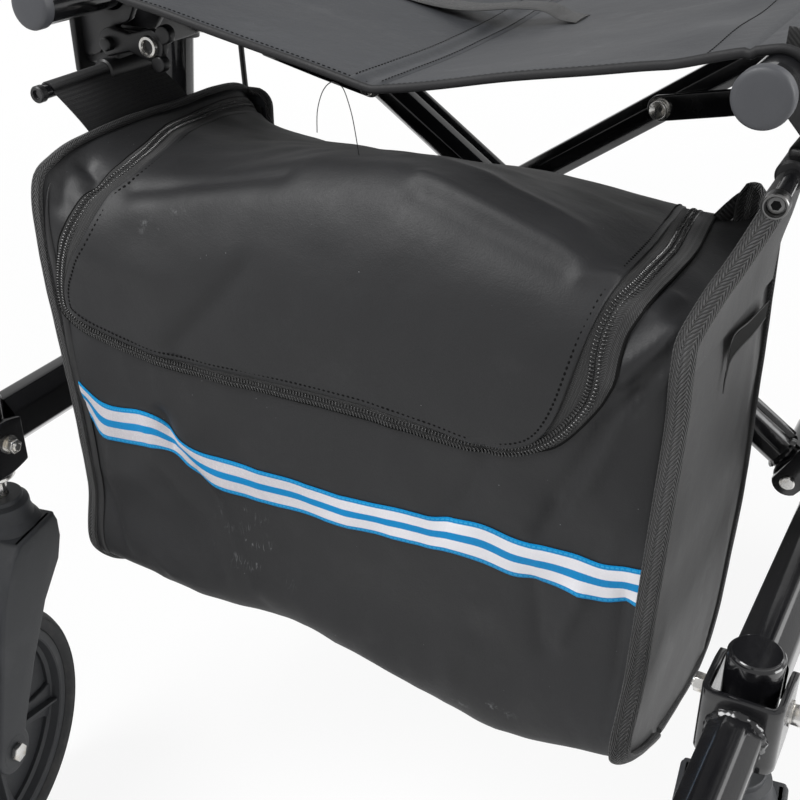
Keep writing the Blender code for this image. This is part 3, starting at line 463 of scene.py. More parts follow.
@dataclass(frozen=True)
class Zinc(Finish):
    """Bright zinc plate with fine turning marks and a warm cast in places."""

    name: str = "bright_zinc_plate"
    colour: Triple = (0.74, 0.73, 0.71)
    warm: Triple = (0.62, 0.55, 0.43)
    rough: float = 0.17

    def make(self) -> bpy.types.Material:
        """Builds the material."""
        recipe = Recipe(self.name)
        stain = recipe.cloud(160.0, 4.0, 0.6).over(0.45, 0.75)
        marks = recipe.cloud(900.0, 3.0, 0.6, recipe.place((1.0, 0.06, 1.0)))
        recipe.shade(Base_Color=recipe.mix(stain * 0.6, self.colour, self.warm), Metallic=1.0)
        recipe.shade(Roughness=self.rough + stain * 0.16 + marks * 0.1)
        recipe.relief(marks, 0.00006, 0.35)
        return recipe.material


@dataclass(frozen=True)
class Rubber(Finish):
    """Rubber with fine grain and grey dust that has settled on it."""

    name: str = "tyre_rubber_dusty"
    colour: Triple = (0.038, 0.039, 0.041)
    dust: Triple = (0.115, 0.110, 0.103)
    rough: float = 0.72
    dusty: float = 0.55

    def make(self) -> bpy.types.Material:
        """Builds the material."""
        recipe = Recipe(self.name)
        grain = recipe.cloud(1200.0, 3.0, 0.7)
        film = recipe.cloud(55.0, 6.0, 0.66).over(0.46, 0.76) * self.dusty
        recipe.shade(Base_Color=recipe.mix(film, self.colour, self.dust))
        recipe.shade(Roughness=self.rough + film * 0.18 + grain * 0.06)
        recipe.relief(grain * 0.6 + recipe.cloud(210.0) * 0.4, 0.00022, 0.5)
        return recipe.material


@dataclass(frozen=True)
class CoatedCloth(Finish):
    """Black cloth under a matt coating: a soft pebble, faint weave, creases, lint, scuffs and scratches."""

    name: str = "coated_bag_cloth"
    colour: Triple = (0.0128, 0.0130, 0.0142)
    pale: Triple = (0.0270, 0.0273, 0.0298)
    lint: Triple = (0.42, 0.43, 0.44)
    rough: float = 0.50
    scuffs: tuple[tuple[Triple, float, Triple], ...] = ()
    scratched: tuple[tuple[Triple, float, Triple], ...] = ()

    def make(self) -> bpy.types.Material:
        """Builds the material."""
        recipe = Recipe(self.name)
        pebble = recipe.cells(1250.0, "SMOOTH_F1")
        weave = recipe.cloud(2600.0, 2.0, 0.5)
        cast = recipe.cloud(9.0, 4.0, 0.55).over(0.30, 0.72)
        handled = recipe.cloud(26.0, 6.0, 0.68).over(0.52, 0.80)
        lint = recipe.cells(150.0).over(0.050, 0.022) * recipe.cloud(31.0, 3.0).over(0.56, 0.66)
        colour = recipe.mix(cast * 0.30 + handled * 0.22, self.colour, self.pale)
        colour = recipe.mix(lint * 0.55, colour, self.lint)
        mark: Signal | float = 0.0
        for centre, radius, squeeze in self.scuffs:
            mark = recipe.spot(centre, radius, squeeze) * recipe.cloud(190.0, 5.0, 0.75).over(0.50, 0.72) + mark
        for centre, radius, squeeze in self.scratched:
            lines = recipe.cloud(330.0, 2.0, 0.4, recipe.place((1.0, 1.0, 0.16), (0.0, 0.72, 0.0)))
            thin = (lines - 0.5).size().over(0.022, 0.004) * recipe.cloud(75.0, 3.0).over(0.52, 0.66)
            mark = recipe.spot(centre, radius, squeeze) * thin + mark
        if isinstance(mark, Signal):
            colour = recipe.mix(mark * 0.42, colour, self.lint)
        recipe.shade(Base_Color=colour, Sheen_Weight=0.03, Sheen_Roughness=0.5, Specular_IOR_Level=0.38)
        recipe.shade(Roughness=self.rough + cast * 0.10 - handled * 0.09 + pebble * 0.08)
        wrinkles = recipe.cloud(120.0, 5.0, 0.6)
        waves = recipe.cloud(34.0, 4.0, 0.55)
        recipe.relief(pebble * 0.16 + weave * 0.06 + wrinkles * 0.30 + waves * 1.6, 0.0011, 0.40)
        return recipe.material


@dataclass(frozen=True)
class Webbing(Finish):
    """Woven tape: a chevron of ribs along the piece, each rib rounded, with fuzz between them; the rib crests are
    painted paler as a painted highlight.
    """

    name: str = "woven_tape"
    colour: Triple = (0.005, 0.005, 0.005)
    # The colour painted on the rib crests as their highlight.
    pale: Triple = (0.050, 0.050, 0.052)
    rib: float = 0.0013
    chevron: float = 0.0045
    slope: float = 1.0
    rough: float = 0.66
    depth: float = 0.00045

    def make(self) -> bpy.types.Material:
        """Builds the material."""
        recipe = Recipe(self.name)
        along, across = recipe.flat()
        lean = (across.repeat(self.chevron) - 0.5).size() * (self.chevron * self.slope * 2.0)
        turn = (along + lean) * (2 * math.pi / self.rib)
        rib = turn.wave() * 0.5 + 0.5
        strand = (across * (2 * math.pi / (self.rib * 0.8))).wave() * 0.5 + 0.5
        height = rib * 0.7 + strand * 0.3
        fuzz = recipe.cloud(1800.0, 3.0, 0.7)
        # The rib crests are painted paler: a painted highlight on the raised weave, speckled by the fuzz.
        light = height.over(0.52, 0.88) * (0.35 + fuzz * 0.65)
        recipe.shade(Base_Color=recipe.mix(light, self.colour, self.pale), Sheen_Weight=0.15)
        recipe.shade(Roughness=self.rough + fuzz * 0.15)
        recipe.relief(height * 0.85 + fuzz * 0.15, self.depth, 0.8)
        return recipe.material


@dataclass(frozen=True)
class StripedRibbon(Finish):
    """The five-band ribbon: blue edges and middle, two silver bands with painted glints, fine cross ribs painted with
    shade, and edge stitches.
    """

    name: str = "striped_ribbon"
    blue: Triple = (0.000, 0.300, 0.665)
    silver: Triple = (0.620, 0.600, 0.640)
    white: Triple = (0.840, 0.835, 0.880)
    shade: Triple = (0.0, 0.170, 0.460)
    glint: Triple = (0.97, 0.97, 0.98)
    stitch: Triple = (0.05, 0.45, 0.80)
    rib: float = 0.00072
    stitch_pitch: float = 0.0028

    def make(self) -> bpy.types.Material:
        """Builds the material."""
        recipe = Recipe(self.name)
        along, across = recipe.flat()
        from_middle = (across - 0.5).size()
        pale = from_middle.over(0.095, 0.110) * from_middle.over(0.392, 0.377)
        rib = (along * (2 * math.pi / self.rib)).wave() * 0.5 + 0.5
        glint_and_shade_noise = recipe.cloud(900.0, 4.0, 0.7)
        silver = recipe.mix(along.over(0.10, 0.30), self.silver, self.white)
        # The silver bands take painted glints in the glint colour.
        silver = recipe.mix(glint_and_shade_noise.over(0.35, 0.8) * 0.35, silver, self.glint)
        # The blue is painted darker along the ribs and in patches: painted shade in the shade colour.
        blue = recipe.mix(rib * 0.40 + glint_and_shade_noise * 0.2, self.blue, self.shade)
        near_edge = (from_middle - 0.445).size().over(0.030, 0.012)
        dash = along.repeat(self.stitch_pitch).over(0.32, 0.38) * near_edge
        blue = recipe.mix(dash * 0.6, blue, self.stitch)
        recipe.shade(Base_Color=recipe.mix(pale, blue, silver), Roughness=0.44 - pale * 0.10)
        recipe.shade(Specular_IOR_Level=0.22)
        height = rib * (1.0 - pale * 0.75) * 0.5 + dash * 0.7 + from_middle.over(0.5, 0.46) * 0.5
        recipe.relief(height, 0.00028, 0.6)
        return recipe.material


@dataclass(frozen=True)
class Thread(Finish):
    """Nylon in the coils and the sewing thread: dark, with glints painted into its colour in flecks, and a twist."""

    name: str = "nylon_thread"
    colour: Triple = (0.005, 0.005, 0.005)
    # The colour of the painted glints.
    pale: Triple = (0.14, 0.14, 0.14)
    rough: float = 0.20
    shine: float = 0.8

    def make(self) -> bpy.types.Material:
        """Builds the material."""
        recipe = Recipe(self.name)
        # Pale flecks paint glints into the colour; they also roughen and bump it.
        painted_glint_flecks = recipe.cloud(1400.0, 3.0, 0.7).over(0.5, 0.8)
        recipe.shade(Base_Color=recipe.mix(painted_glint_flecks, self.colour, self.pale))
        recipe.shade(Roughness=self.rough + painted_glint_flecks * 0.2, Specular_IOR_Level=self.shine)
        recipe.relief(painted_glint_flecks, 0.00008, 0.5)
        return recipe.material


@dataclass(frozen=True)
class HookTape(Finish):
    """Hook-and-loop tape: a dense field of little hooks, their tips painted paler as a painted highlight."""

    name: str = "hook_tape"
    colour: Triple = (0.010, 0.010, 0.011)
    pale: Triple = (0.070, 0.070, 0.072)

    def make(self) -> bpy.types.Material:
        """Builds the material."""
        recipe = Recipe(self.name)
        hooks = recipe.cells(1150.0).over(0.45, 0.05)
        # The hook tips are painted paler: a painted highlight.
        recipe.shade(Base_Color=recipe.mix(hooks * 0.6, self.colour, self.pale), Roughness=0.8)
        recipe.relief(hooks, 0.0006, 0.9)
        return recipe.material


class Finishes:
    """Every finish on the rollator, each built once."""

    # A mark on the bag is its middle, its radius and how far each axis is squeezed.
    scuffs = (
        ((-0.1180, -0.160, 0.4810), 0.013, (1.0, 0.4, 1.7)),
        ((-0.0990, -0.160, 0.4920), 0.010, (1.0, 0.4, 2.2)),
        ((0.1165, -0.185, 0.2235), 0.015, (1.0, 0.4, 2.4)),
        ((0.0900, -0.185, 0.2160), 0.010, (1.0, 0.4, 2.6)),
    )
    scratched = (
        ((-0.0640, -0.180, 0.2810), 0.032, (1.0, 0.4, 0.9)),
        ((-0.0420, -0.180, 0.2680), 0.022, (1.0, 0.4, 1.0)),
    )

    def __init__(self) -> None:
        """Starts with an empty shelf."""
        self.shelf: dict[str, bpy.types.Material] = {}

    def get(self, finish: Finish) -> bpy.types.Material:
        """The material of a finish, built the first time it is asked for."""
        if finish.name not in self.shelf:
            self.shelf[finish.name] = finish.make()
        return self.shelf[finish.name]


SHELF = Finishes()
ENAMEL = Enamel()
CASTING = Casting()
PLASTIC = Moulding()
CAP_PLASTIC = Moulding("cap_plastic", (0.058, 0.060, 0.067), (0.085, 0.088, 0.095), 0.44, 0.00006)
BLACK_PLASTIC = Moulding("black_plastic", (0.012, 0.012, 0.013), (0.030, 0.030, 0.031), 0.38, 0.00010)
ZINC = Zinc()
TYRE = Rubber()
GRIP = Rubber("grip_rubber_soft", (0.018, 0.018, 0.020), (0.060, 0.058, 0.055), 0.58, 0.30)
BAG_CLOTH = CoatedCloth(scuffs=Finishes.scuffs, scratched=Finishes.scratched)
# The side panels' cloth is the bag's cloth painted about three times lighter: painted light for the lamp on the sides.
SIDE_CLOTH_PAINTED_LIGHT = CoatedCloth("side_panel_cloth_painted_light", (0.036, 0.036, 0.0365), (0.062, 0.062, 0.062), rough=0.50)
SEAT_CLOTH = CoatedCloth("coated_seat_cloth", (0.0300, 0.0320, 0.0365), (0.0530, 0.0565, 0.0630), rough=0.44)
HEM_CLOTH = CoatedCloth("hem_cloth", (0.008, 0.008, 0.009), (0.020, 0.020, 0.022), rough=0.55)
TAPE = Webbing()
BINDING = Webbing("grosgrain_binding", (0.002, 0.002, 0.002), (0.110, 0.110, 0.113), 0.0026, 0.0068, 1.0, 0.55, 0.0030)
FELTED = Webbing("felted_cloth", (0.006, 0.006, 0.007), (0.026, 0.026, 0.029), 0.0011, 0.0022, 1.0, 0.8, 0.0004)
RIBBED = Webbing("ribbed_elastic", (0.004, 0.004, 0.004), (0.105, 0.105, 0.108), 0.0030, 0.05, 0.0, 0.62, 0.0011)
RIBBON = StripedRibbon()
THREAD = Thread()
SEWING = Thread("sewing_thread", (0.002, 0.002, 0.002), (0.010, 0.010, 0.010), 0.70, 0.12)
HOOKS = HookTape()
DARK_STEEL = Zinc("dark_steel", (0.16, 0.16, 0.16), (0.20, 0.19, 0.18), 0.24)
SLEEVE = Moulding("cable_sleeve_black", (0.010, 0.010, 0.010), (0.022, 0.022, 0.022), 0.36, 0.00004)


class Form:
    """A mesh that operators shape and that then becomes a piece of the rollator."""

    def __init__(self) -> None:
        """Starts with nothing."""
        self.bm = bmesh.new()

    def turned(self, profile: Sequence[Pair], steps: int = 48, ring: bool = False) -> "Form":
        """Spins a profile about Z.

        Args:
            profile: Pairs of radius and height.
            steps: Spans in the full turn.
            ring: Whether the profile closes on itself.

        Returns:
            This form.
        """
        verts = [self.bm.verts.new((radius, 0.0, z)) for radius, z in profile]
        following = verts[1:] + (verts[:1] if ring else [])
        edges = [self.bm.edges.new(pair) for pair in zip(verts, following)]
        bmesh.ops.spin(
            self.bm, geom=verts + edges, cent=(0, 0, 0), axis=(0, 0, 1), angle=2 * math.pi, steps=steps, use_merge=True
        )
        bmesh.ops.remove_doubles(self.bm, verts=self.bm.verts, dist=1e-6)
        return self

    def swept(
        self,
        path: Sequence[Vector],
        outline: Sequence[Pair],
        up: Triple = (0, 0, 1),
        scales: Sequence[float] | None = None,
    ) -> "Form":
        """Draws a closed outline along a path and closes both ends.

        Args:
            path: The points that the outline's middle follows.
            outline: The outline's points, across and up.
            up: The direction that stays up.
            scales: The outline's size at each point.

        Returns:
            This form.
        """
        places = self.stations(path, Vector(up))
        sizes = scales or [1.0] * len(path)
        edges = self.loop(places[0] @ Vector((x * sizes[0], y * sizes[0], 0)) for x, y in outline)
        bmesh.ops.contextual_create(self.bm, geom=edges)
        for index in range(1, len(places)):
            verts, edges = self.grow(edges)
            scale = Matrix.Diagonal((sizes[index] / sizes[index - 1],) * 2 + (1.0, 1.0))
            bmesh.ops.transform(self.bm, matrix=places[index] @ scale @ places[index - 1].inverted(), verts=verts)
        bmesh.ops.contextual_create(self.bm, geom=edges)
        return self

    def loop(self, points: Iterable[Sequence[float]]) -> list[bmesh.types.BMEdge]:
        """Adds a closed loop of edges through the points."""
        verts = [self.bm.verts.new(point) for point in points]
        return [self.bm.edges.new(pair) for pair in zip(verts, verts[1:] + verts[:1])]

    def grow(self, edges: list[bmesh.types.BMEdge]) -> tuple[list[bmesh.types.BMVert], list[bmesh.types.BMEdge]]:
        """Extrudes a loop of edges in place, and gives the new loop's points and edges."""
        made = bmesh.ops.extrude_edge_only(self.bm, edges=edges)["geom"]
        ring = [item for item in made if isinstance(item, bmesh.types.BMVert)]
        fresh = set(ring)
        return ring, [i for i in made if isinstance(i, bmesh.types.BMEdge) and fresh.issuperset(i.verts)]

    @staticmethod
    def stations(path: Sequence[Vector], up: Vector) -> list[Matrix]:
        """A frame at each point of a path: across, up and along."""
        places = []
        for index, point in enumerate(path):
            ahead = Vector(path[min(index + 1, len(path) - 1)])
            along = (ahead - Vector(path[max(index - 1, 0)])).normalized()
            across = up.cross(along).normalized()
            rise = along.cross(across)
            up = rise
            turn = Matrix((across, rise, along)).transposed().to_4x4()
            places.append(Matrix.Translation(point) @ turn)
        return places

    def bar(self, start: Vector, end: Vector, radius: float, steps: int = 32, ease: float = 0.0) -> "Form":
        """A round bar between two points, its ends eased if asked."""
        start, end = Vector(start), Vector(end)
        length = (end - start).length
        profile = [(0.0, 0.0), (radius, 0.0), (radius, length), (0.0, length)]
        if ease:
            rise = [(radius - ease, 0.0), (radius, ease), (radius, length - ease), (radius - ease, length)]
            profile = [profile[0], *rise, profile[-1]]
        return self.add(Form().turned(profile, steps), stood(start, end - start))

    def slab(self, outline: Sequence[Pair], low: float, high: float) -> "Form":
        """A flat outline raised from one height to another."""
        face = bmesh.ops.contextual_create(self.bm, geom=self.loop((x, y, low) for x, y in outline))
        made = bmesh.ops.extrude_face_region(self.bm, geom=face["faces"], use_keep_orig=True)["geom"]
        raised = [item for item in made if isinstance(item, bmesh.types.BMVert)]
        bmesh.ops.translate(self.bm, vec=(0, 0, high - low), verts=raised)
        return self

    def block(self, low: Sequence[float], high: Sequence[float]) -> "Form":
        """A box between two corners, to be eased."""
        low, high = Vector(low), Vector(high)
        size = Matrix.Diagonal((*(high - low), 1.0))
        bmesh.ops.create_cube(self.bm, size=1.0, matrix=Matrix.Translation((low + high) / 2) @ size)
        return self

    def eased(self, width: float, segments: int = 3, angle: float = 30.0) -> "Form":
        """Rounds every edge that is sharper than an angle."""
        bmesh.ops.recalc_face_normals(self.bm, faces=self.bm.faces)
        limit = math.radians(angle)
        sharp = [e for e in self.bm.edges if len(e.link_faces) == 2 and e.calc_face_angle(0.0) > limit]
        bmesh.ops.bevel(
            self.bm, geom=sharp, offset=width, affect="EDGES", segments=segments, profile=0.5, material=-1
        )
        return self

    def rippled(self, *waves: Triple) -> "Form":
        """Makes a spun form wave round its axis; a wave is its share of the radius, its count and its start."""
        for vert in self.bm.verts:
            turn, swell = math.atan2(vert.co.y, vert.co.x), 1.0
            for share, count, start in waves:
                swell += share * math.sin(turn * count + start)
            vert.co.xy = vert.co.xy * swell
        return self

    def moved(self, place: Matrix) -> "Form":
        """Moves the whole form."""
        bmesh.ops.transform(self.bm, matrix=place, verts=self.bm.verts)
        return self

    def sheet(
        self,
        columns: int,
        rows: int,
        rule: Callable[[np.ndarray, np.ndarray], np.ndarray],
        flat: Callable[[np.ndarray, np.ndarray], np.ndarray] | None = None,
    ) -> "Form":
        """A grid whose points a rule moves to their places.

        Args:
            columns: Faces along the grid's first side.
            rows: Faces along its second.
            rule: The places, from the shares along both sides.
            flat: The grid's own map in metres, from the same shares.

        Returns:
            This form.
        """
        verts = bmesh.ops.create_grid(self.bm, x_segments=columns, y_segments=rows, size=0.5)["verts"]
        shares = np.array([(vert.co.x + 0.5, vert.co.y + 0.5) for vert in verts])
        if flat:
            layer = self.bm.loops.layers.uv.new("flat")
            spread = dict(zip(verts, flat(shares[:, 0], shares[:, 1])))
            for face in self.bm.faces:
                for loop in face.loops:
                    loop[layer].uv = spread[loop.vert]
        for vert, place in zip(verts, rule(shares[:, 0], shares[:, 1])):
            vert.co = place
        return self

    def thicken(self, thickness: float) -> "Form":
        """Gives a sheet its wall, inwards from its outer face."""
        bmesh.ops.recalc_face_normals(self.bm, faces=self.bm.faces)
        bmesh.ops.solidify(self.bm, geom=self.bm.faces[:], thickness=thickness)
        return self

    def add(self, other: "Form", place: Matrix = Matrix.Identity(4)) -> "Form":
        """Takes another form's mesh into this one."""
        other.moved(place)
        mesh = bpy.data.meshes.new("part_of_form")
        bmesh.ops.recalc_face_normals(other.bm, faces=other.bm.faces)
        other.bm.to_mesh(mesh)
        other.bm.free()
        self.bm.from_mesh(mesh)
        bpy.data.meshes.remove(mesh)
        return self

    def beads(self, places: Sequence[Matrix], steps: int, rings: int, batch_size: int = 40) -> "Form":
        """Adds a small rounded body at each place, in batches so that a long row stays quick."""
        for start in range(0, len(places), batch_size):
            batch = Form()
            for place in places[start : start + batch_size]:
                bmesh.ops.create_uvsphere(batch.bm, u_segments=steps, v_segments=rings, radius=1.0, matrix=place)
            self.add(batch)
        return self

    def mapped(self, rule: Callable[[Vector], Pair]) -> "Form":
        """Lays the piece's own map by a rule from place to metres along and across."""
        layer = self.bm.loops.layers.uv.get("flat") or self.bm.loops.layers.uv.new("flat")
        for face in self.bm.faces:
            for loop in face.loops:
                loop[layer].uv = rule(loop.vert.co)
        return self

    def piece(
        self, name: str, finish: Finish, slot: Slot, body: str, stands_for: Iterable[str] = (), angle: float = 34.0
    ) -> bpy.types.Object:
        """Makes the form a finished piece that rides on a body.

        Args:
            name: The piece's name.
            finish: The finish that it wears.
            slot: The record's slot for that finish; not used.
            body: The CAD body that carries it, or nothing to leave it unattached.
            stands_for: The CAD nodes that it replaces.
            angle: Edges sharper than this stay sharp.

        Returns:
            The new object.
        """
        bmesh.ops.remove_doubles(self.bm, verts=self.bm.verts, dist=1e-7)
        bmesh.ops.recalc_face_normals(self.bm, faces=self.bm.faces)
        mesh = bpy.data.meshes.new(name)
        self.bm.to_mesh(mesh)
        self.bm.free()
        mesh.shade_smooth()
        mesh.set_sharp_from_angle(angle=math.radians(angle))
        mesh.materials.append(SHELF.get(finish))
        made = bpy.data.objects.new(name, mesh)
        bpy.context.scene.collection.objects.link(made)
        if body:
            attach(made, body)
        for node in stands_for:
            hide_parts(node)
        LOG.info("%s rides on %s with %d faces", name, body or "two bodies", len(mesh.polygons))
        return made


def edgewise() -> Matrix:
    """Stands a flat outline up along the frame: its x runs back, its y up, its thickness along X."""
    return Matrix(((0, 0, 1, 0), (1, 0, 0, 0), (0, 1, 0, 0), (0, 0, 0, 1)))


def side_view() -> Matrix:
    """The same, with the outline's x counted from the front ends."""
    return Matrix.Translation((0, FRONT_ENDS_Y, 0)) @ edgewise()


def front_view(back: float) -> Matrix:
    """Stands a flat outline up across the frame, at a distance behind the front ends."""
    return Matrix(((1, 0, 0, 0), (0, 0, -1, FRONT_ENDS_Y + back), (0, 1, 0, 0), (0, 0, 0, 1)))


def facing(direction: Sequence[float]) -> Matrix:
    """Turns a form that was spun about Z so that its axis points in a direction."""
    return Vector(direction).to_track_quat("Z", "Y").to_matrix().to_4x4()


def stood(place: Sequence[float], direction: Sequence[float]) -> Matrix:
    """Sets a form that was spun about Z down at a place, with its axis in a direction."""
    return Matrix.Translation(place) @ facing(direction)


def outwards(place: Sequence[float], sign: float) -> Matrix:
    """Sets a form that was spun about Z down at a place, with its axis along X, outwards on that side."""
    return stood(place, (sign, 0, 0))


def fastener(radius: float, height: float, hexagonal: bool, socket: float = 0.0) -> Form:
    """A bolt head or nut that stands on its seat at Z = 0 and rises along Z.

    Args:
        radius: Its radius over the corners.
        height: Its height.
        hexagonal: Whether it has six flats, or is round.
        socket: The radius of a six-sided socket in its top, or 0.

    Returns:
        The form.
    """
    outline = circle(radius, 6 if hexagonal else 36)
    form = Form().slab(outline, 0.0, height).eased(radius * 0.10, 2)
    if socket:
        top = max(form.bm.faces, key=lambda face: face.calc_center_median().z)
        bmesh.ops.inset_individual(form.bm, faces=[top], thickness=radius - socket * 1.25)
        bmesh.ops.translate(form.bm, vec=(0, 0, -height * 0.6), verts=list(top.verts))
        bmesh.ops.scale(form.bm, vec=(0.86, 0.86, 1.0), verts=list(top.verts))
    return form


@dataclass
class Sided:
    """Something on one side of the frame that has its mirror on the other."""

    side: Side

    @property
    def sign(self) -> float:
        """The side's sign along X."""
        return self.side.value

    @property
    def x(self) -> float:
        """Where the side frame's middle plane is."""
        return self.sign * SIDE_X

    def named(self, stem: str) -> str:
        """A name with the side's word after it."""
        return f"{stem}_{self.side.word}"


@dataclass
class SideFrame(Sided):
    """One side frame: lower rail with its rear leg, upright, caster head, bracket, hanger rod and pins."""

    rail_z: float = 0.319
    rail_size: Triple = (0.028, 0.038, 0.009)
    upright_r: float = 0.0135
    upright_top: float = 0.770
    bracket_z: float = 0.552
    cradle_r: float = 0.0138
    cable_r: float = 0.0022
    rod_front: Pair = field(init=False)
    body: str = field(init=False)

    def __post_init__(self) -> None:
        """Takes what differs from side to side."""
        self.rod_front = (0.2195, 0.020) if self.side is Side.LEFT else (0.2145, 0.002)
        self.body = self.named("side_frame")

    def build(self) -> None:
        """Builds every piece of the side."""
        self.rail()
        self.upright()
        self.head()
        self.clevis()
        self.stub()
        self.bracket()
        self.hanger_rod()
        self.foot_pin()
        self.axle_head()
        self.cable()

    def rail(self) -> None:
        """The flat-sided lower rail that bends down into the rear leg, with its moulded foot plug."""
        x = self.x
        corners = [at(x, -0.0380, self.rail_z), at(x, 0.300, self.rail_z), at(x, 0.432, 0.080)]
        path = bent_route(corners, 0.060, 16)
        width, height, cut = self.rail_size
        form = Form().swept(path, octagon(width, height, cut, 3))
        form.piece(self.named("rail_and_leg"), ENAMEL, Slot.PAINT, self.body, [self.named("lower_rail")], 24)
        run = (path[-1] - path[-2]).normalized()
        ends = [path[-1] - run * 0.004, path[-1] + run * 0.0035]
        plug = Form().swept(ends, octagon(width - 0.003, height - 0.003, cut))
        plug.eased(0.0012, 2).piece(self.named("leg_plug"), BLACK_PLASTIC, Slot.PLASTIC, self.body)

    def upright(self) -> None:
        """The round upright with its top collar, welded to the rail with a fillet."""
        x, foot_z = self.x, 0.3385
        low = at(x, upright_back(foot_z), foot_z)
        top = at(x, upright_back(self.upright_top), self.upright_top)
        run = (top - low).normalized()
        form = Form().bar(low, top, self.upright_r, 40, 0.0008)
        form.piece(self.named("upright_tube"), ENAMEL, Slot.PAINT, self.body, [self.named("upright")])
        weld = [(0.0132, 0.0), (0.0175, 0.0), (0.0168, 0.0016), (0.0150, 0.0030), (0.0137, 0.0058), (0.0132, 0.0060)]
        bead = Form().turned(weld, 48, ring=True).rippled((0.012, 26, 0))
        bead.moved(stood(at(x, upright_back(foot_z - 0.0010), foot_z - 0.0013), run))
        bead.piece(self.named("upright_weld"), ENAMEL, Slot.PAINT, self.body)
        collar = [(0.0114, 0.0), (0.0152, 0.0), (0.0158, 0.0012), (0.0158, 0.0085), (0.0150, 0.0100), (0.0114, 0.0100)]
        bush = Form().turned(collar, 40, ring=True).moved(stood(top - run * 0.0065, run))
        bush.piece(self.named("upright_bush"), BLACK_PLASTIC, Slot.PLASTIC, self.body)

    def head(self) -> None:
        """The head tube with its pressed-in cap, and the bright bearing race under it."""
        place = Matrix.Translation(at(self.x, HEAD_BACK, 0))
        profile = [(0.0, 0.3450), (0.0118, 0.3450), (0.0124, 0.3446), (0.0126, 0.3438), (0.0134, 0.3436)]
        profile += [(0.0140, 0.3428), (0.0140, 0.2875), (0.0134, 0.2865), (0.0063, 0.2865), (0.0063, 0.3063)]
        form = Form().turned(profile + [(0.0, 0.3063)], 56).moved(place)
        form.piece(self.named("head_tube"), ENAMEL, Slot.CASTING, self.body, [self.named("caster_head")], 28)
        race = [(0.0066, 0.2835), (0.0128, 0.2835), (0.0132, 0.2841), (0.0132, 0.2862), (0.0066, 0.2862)]
        form = Form().turned(race, 48, ring=True).moved(place)
        form.piece(self.named("head_bearing"), ZINC, Slot.ZINC, self.body)

    def clevis(self) -> None:
        """The bent clevis plate round the head, and its bolt."""
        x, sign = self.x, self.sign
        half, plate, corner = 0.0158, 0.004, 0.0068
        front, rear = -0.0764 + corner, -0.0385
        low, high = 0.2920, 0.3320
        outline = [(x - half - plate, rear)]
        outline += arc((x - half - plate + corner, front), corner, 180, 270, 8)
        outline += arc((x + half + plate - corner, front), corner, 270, 360, 8)
        outline += [(x + half + plate, rear), (x + half, rear)]
        inner = corner - plate
        outline += arc((x + half - inner, front), inner, 0, -90, 5)
        outline += arc((x - half + inner, front), inner, -90, -180, 5) + [(x - half, rear)]
        form = Form().slab(outline, low, high)
        bmesh.ops.subdivide_edges(form.bm, edges=[e for e in form.bm.edges if e.calc_length() > 0.03], cuts=7)
        for vert in form.bm.verts:
            share = min(1.0, max(0.0, (vert.co.y - front) / (rear - front)))
            ceiling = high - 0.0105 * max(0.0, share - 0.55) ** 1.5
            floor = low + 0.0090 * max(0.0, share - 0.45) ** 1.5
            vert.co.z = floor + (vert.co.z - low) / 0.040 * (ceiling - floor)
        form.moved(Matrix.Translation((0, FRONT_ENDS_Y, 0))).eased(0.0009, 2, 50)
        form.piece(self.named("clevis_plate"), ENAMEL, Slot.PAINT, self.body, [self.named("clevis")], 28)
        bolt, reach = Form(), half + plate
        for way, height in ((sign, 0.0052), (-sign, 0.0058)):
            is_nut = way != sign
            head = fastener(0.0052, height, is_nut, 0.0 if is_nut else 0.0024)
            bolt.add(head, outwards(at(x + way * (reach + 0.0010), HEAD_BACK, CLEVIS_BOLT_Z), way))
            washer = Form().slab(circle(0.0066, 32), 0.0, 0.0010)
            bolt.add(washer, outwards(at(x + way * (reach + 0.0001), HEAD_BACK, CLEVIS_BOLT_Z), way))
        tail = at(x - sign * (reach + 0.0060), HEAD_BACK, CLEVIS_BOLT_Z)
        bolt.bar(tail, tail - Vector((sign * 0.0022, 0, 0)), 0.0030, 20, 0.0005)
        bolt.piece(self.named("clevis_bolt_set"), ZINC, Slot.ZINC, self.body, [self.named("clevis_bolt")], 25)

    def stub(self) -> None:
        """The stub tube that runs forward from the clevis, with its plug and its weld."""
        x, front = self.x, -0.1985
        form = Form().swept([at(x, front, STUB_Z), at(x, -0.0768, STUB_Z)], octagon(0.0265, 0.0265, 0.0077, 3))
        form.piece(self.named("stub_tube"), ENAMEL, Slot.PAINT, self.body, [self.named("front_stub_tube")], 24)
        plug = Form().swept([at(x, front - 0.0015, STUB_Z), at(x, front, STUB_Z)], octagon(0.0268, 0.0268, 0.0078))
        plug.eased(0.0006, 2).piece(self.named("stub_plug"), BLACK_PLASTIC, Slot.PLASTIC, self.body)
        weld = [(0.0120, 0.0), (0.0152, 0.0), (0.0147, 0.0018), (0.0134, 0.0030), (0.0120, 0.0032)]
        bead = Form().turned(weld, 60, True).rippled((0.03, 21, 0), (0.02, 9, 1))
        bead.moved(stood(at(x, -0.0766, STUB_Z), TO_FRONT))
        bead.piece(self.named("stub_weld"), ENAMEL, Slot.PAINT, self.body)

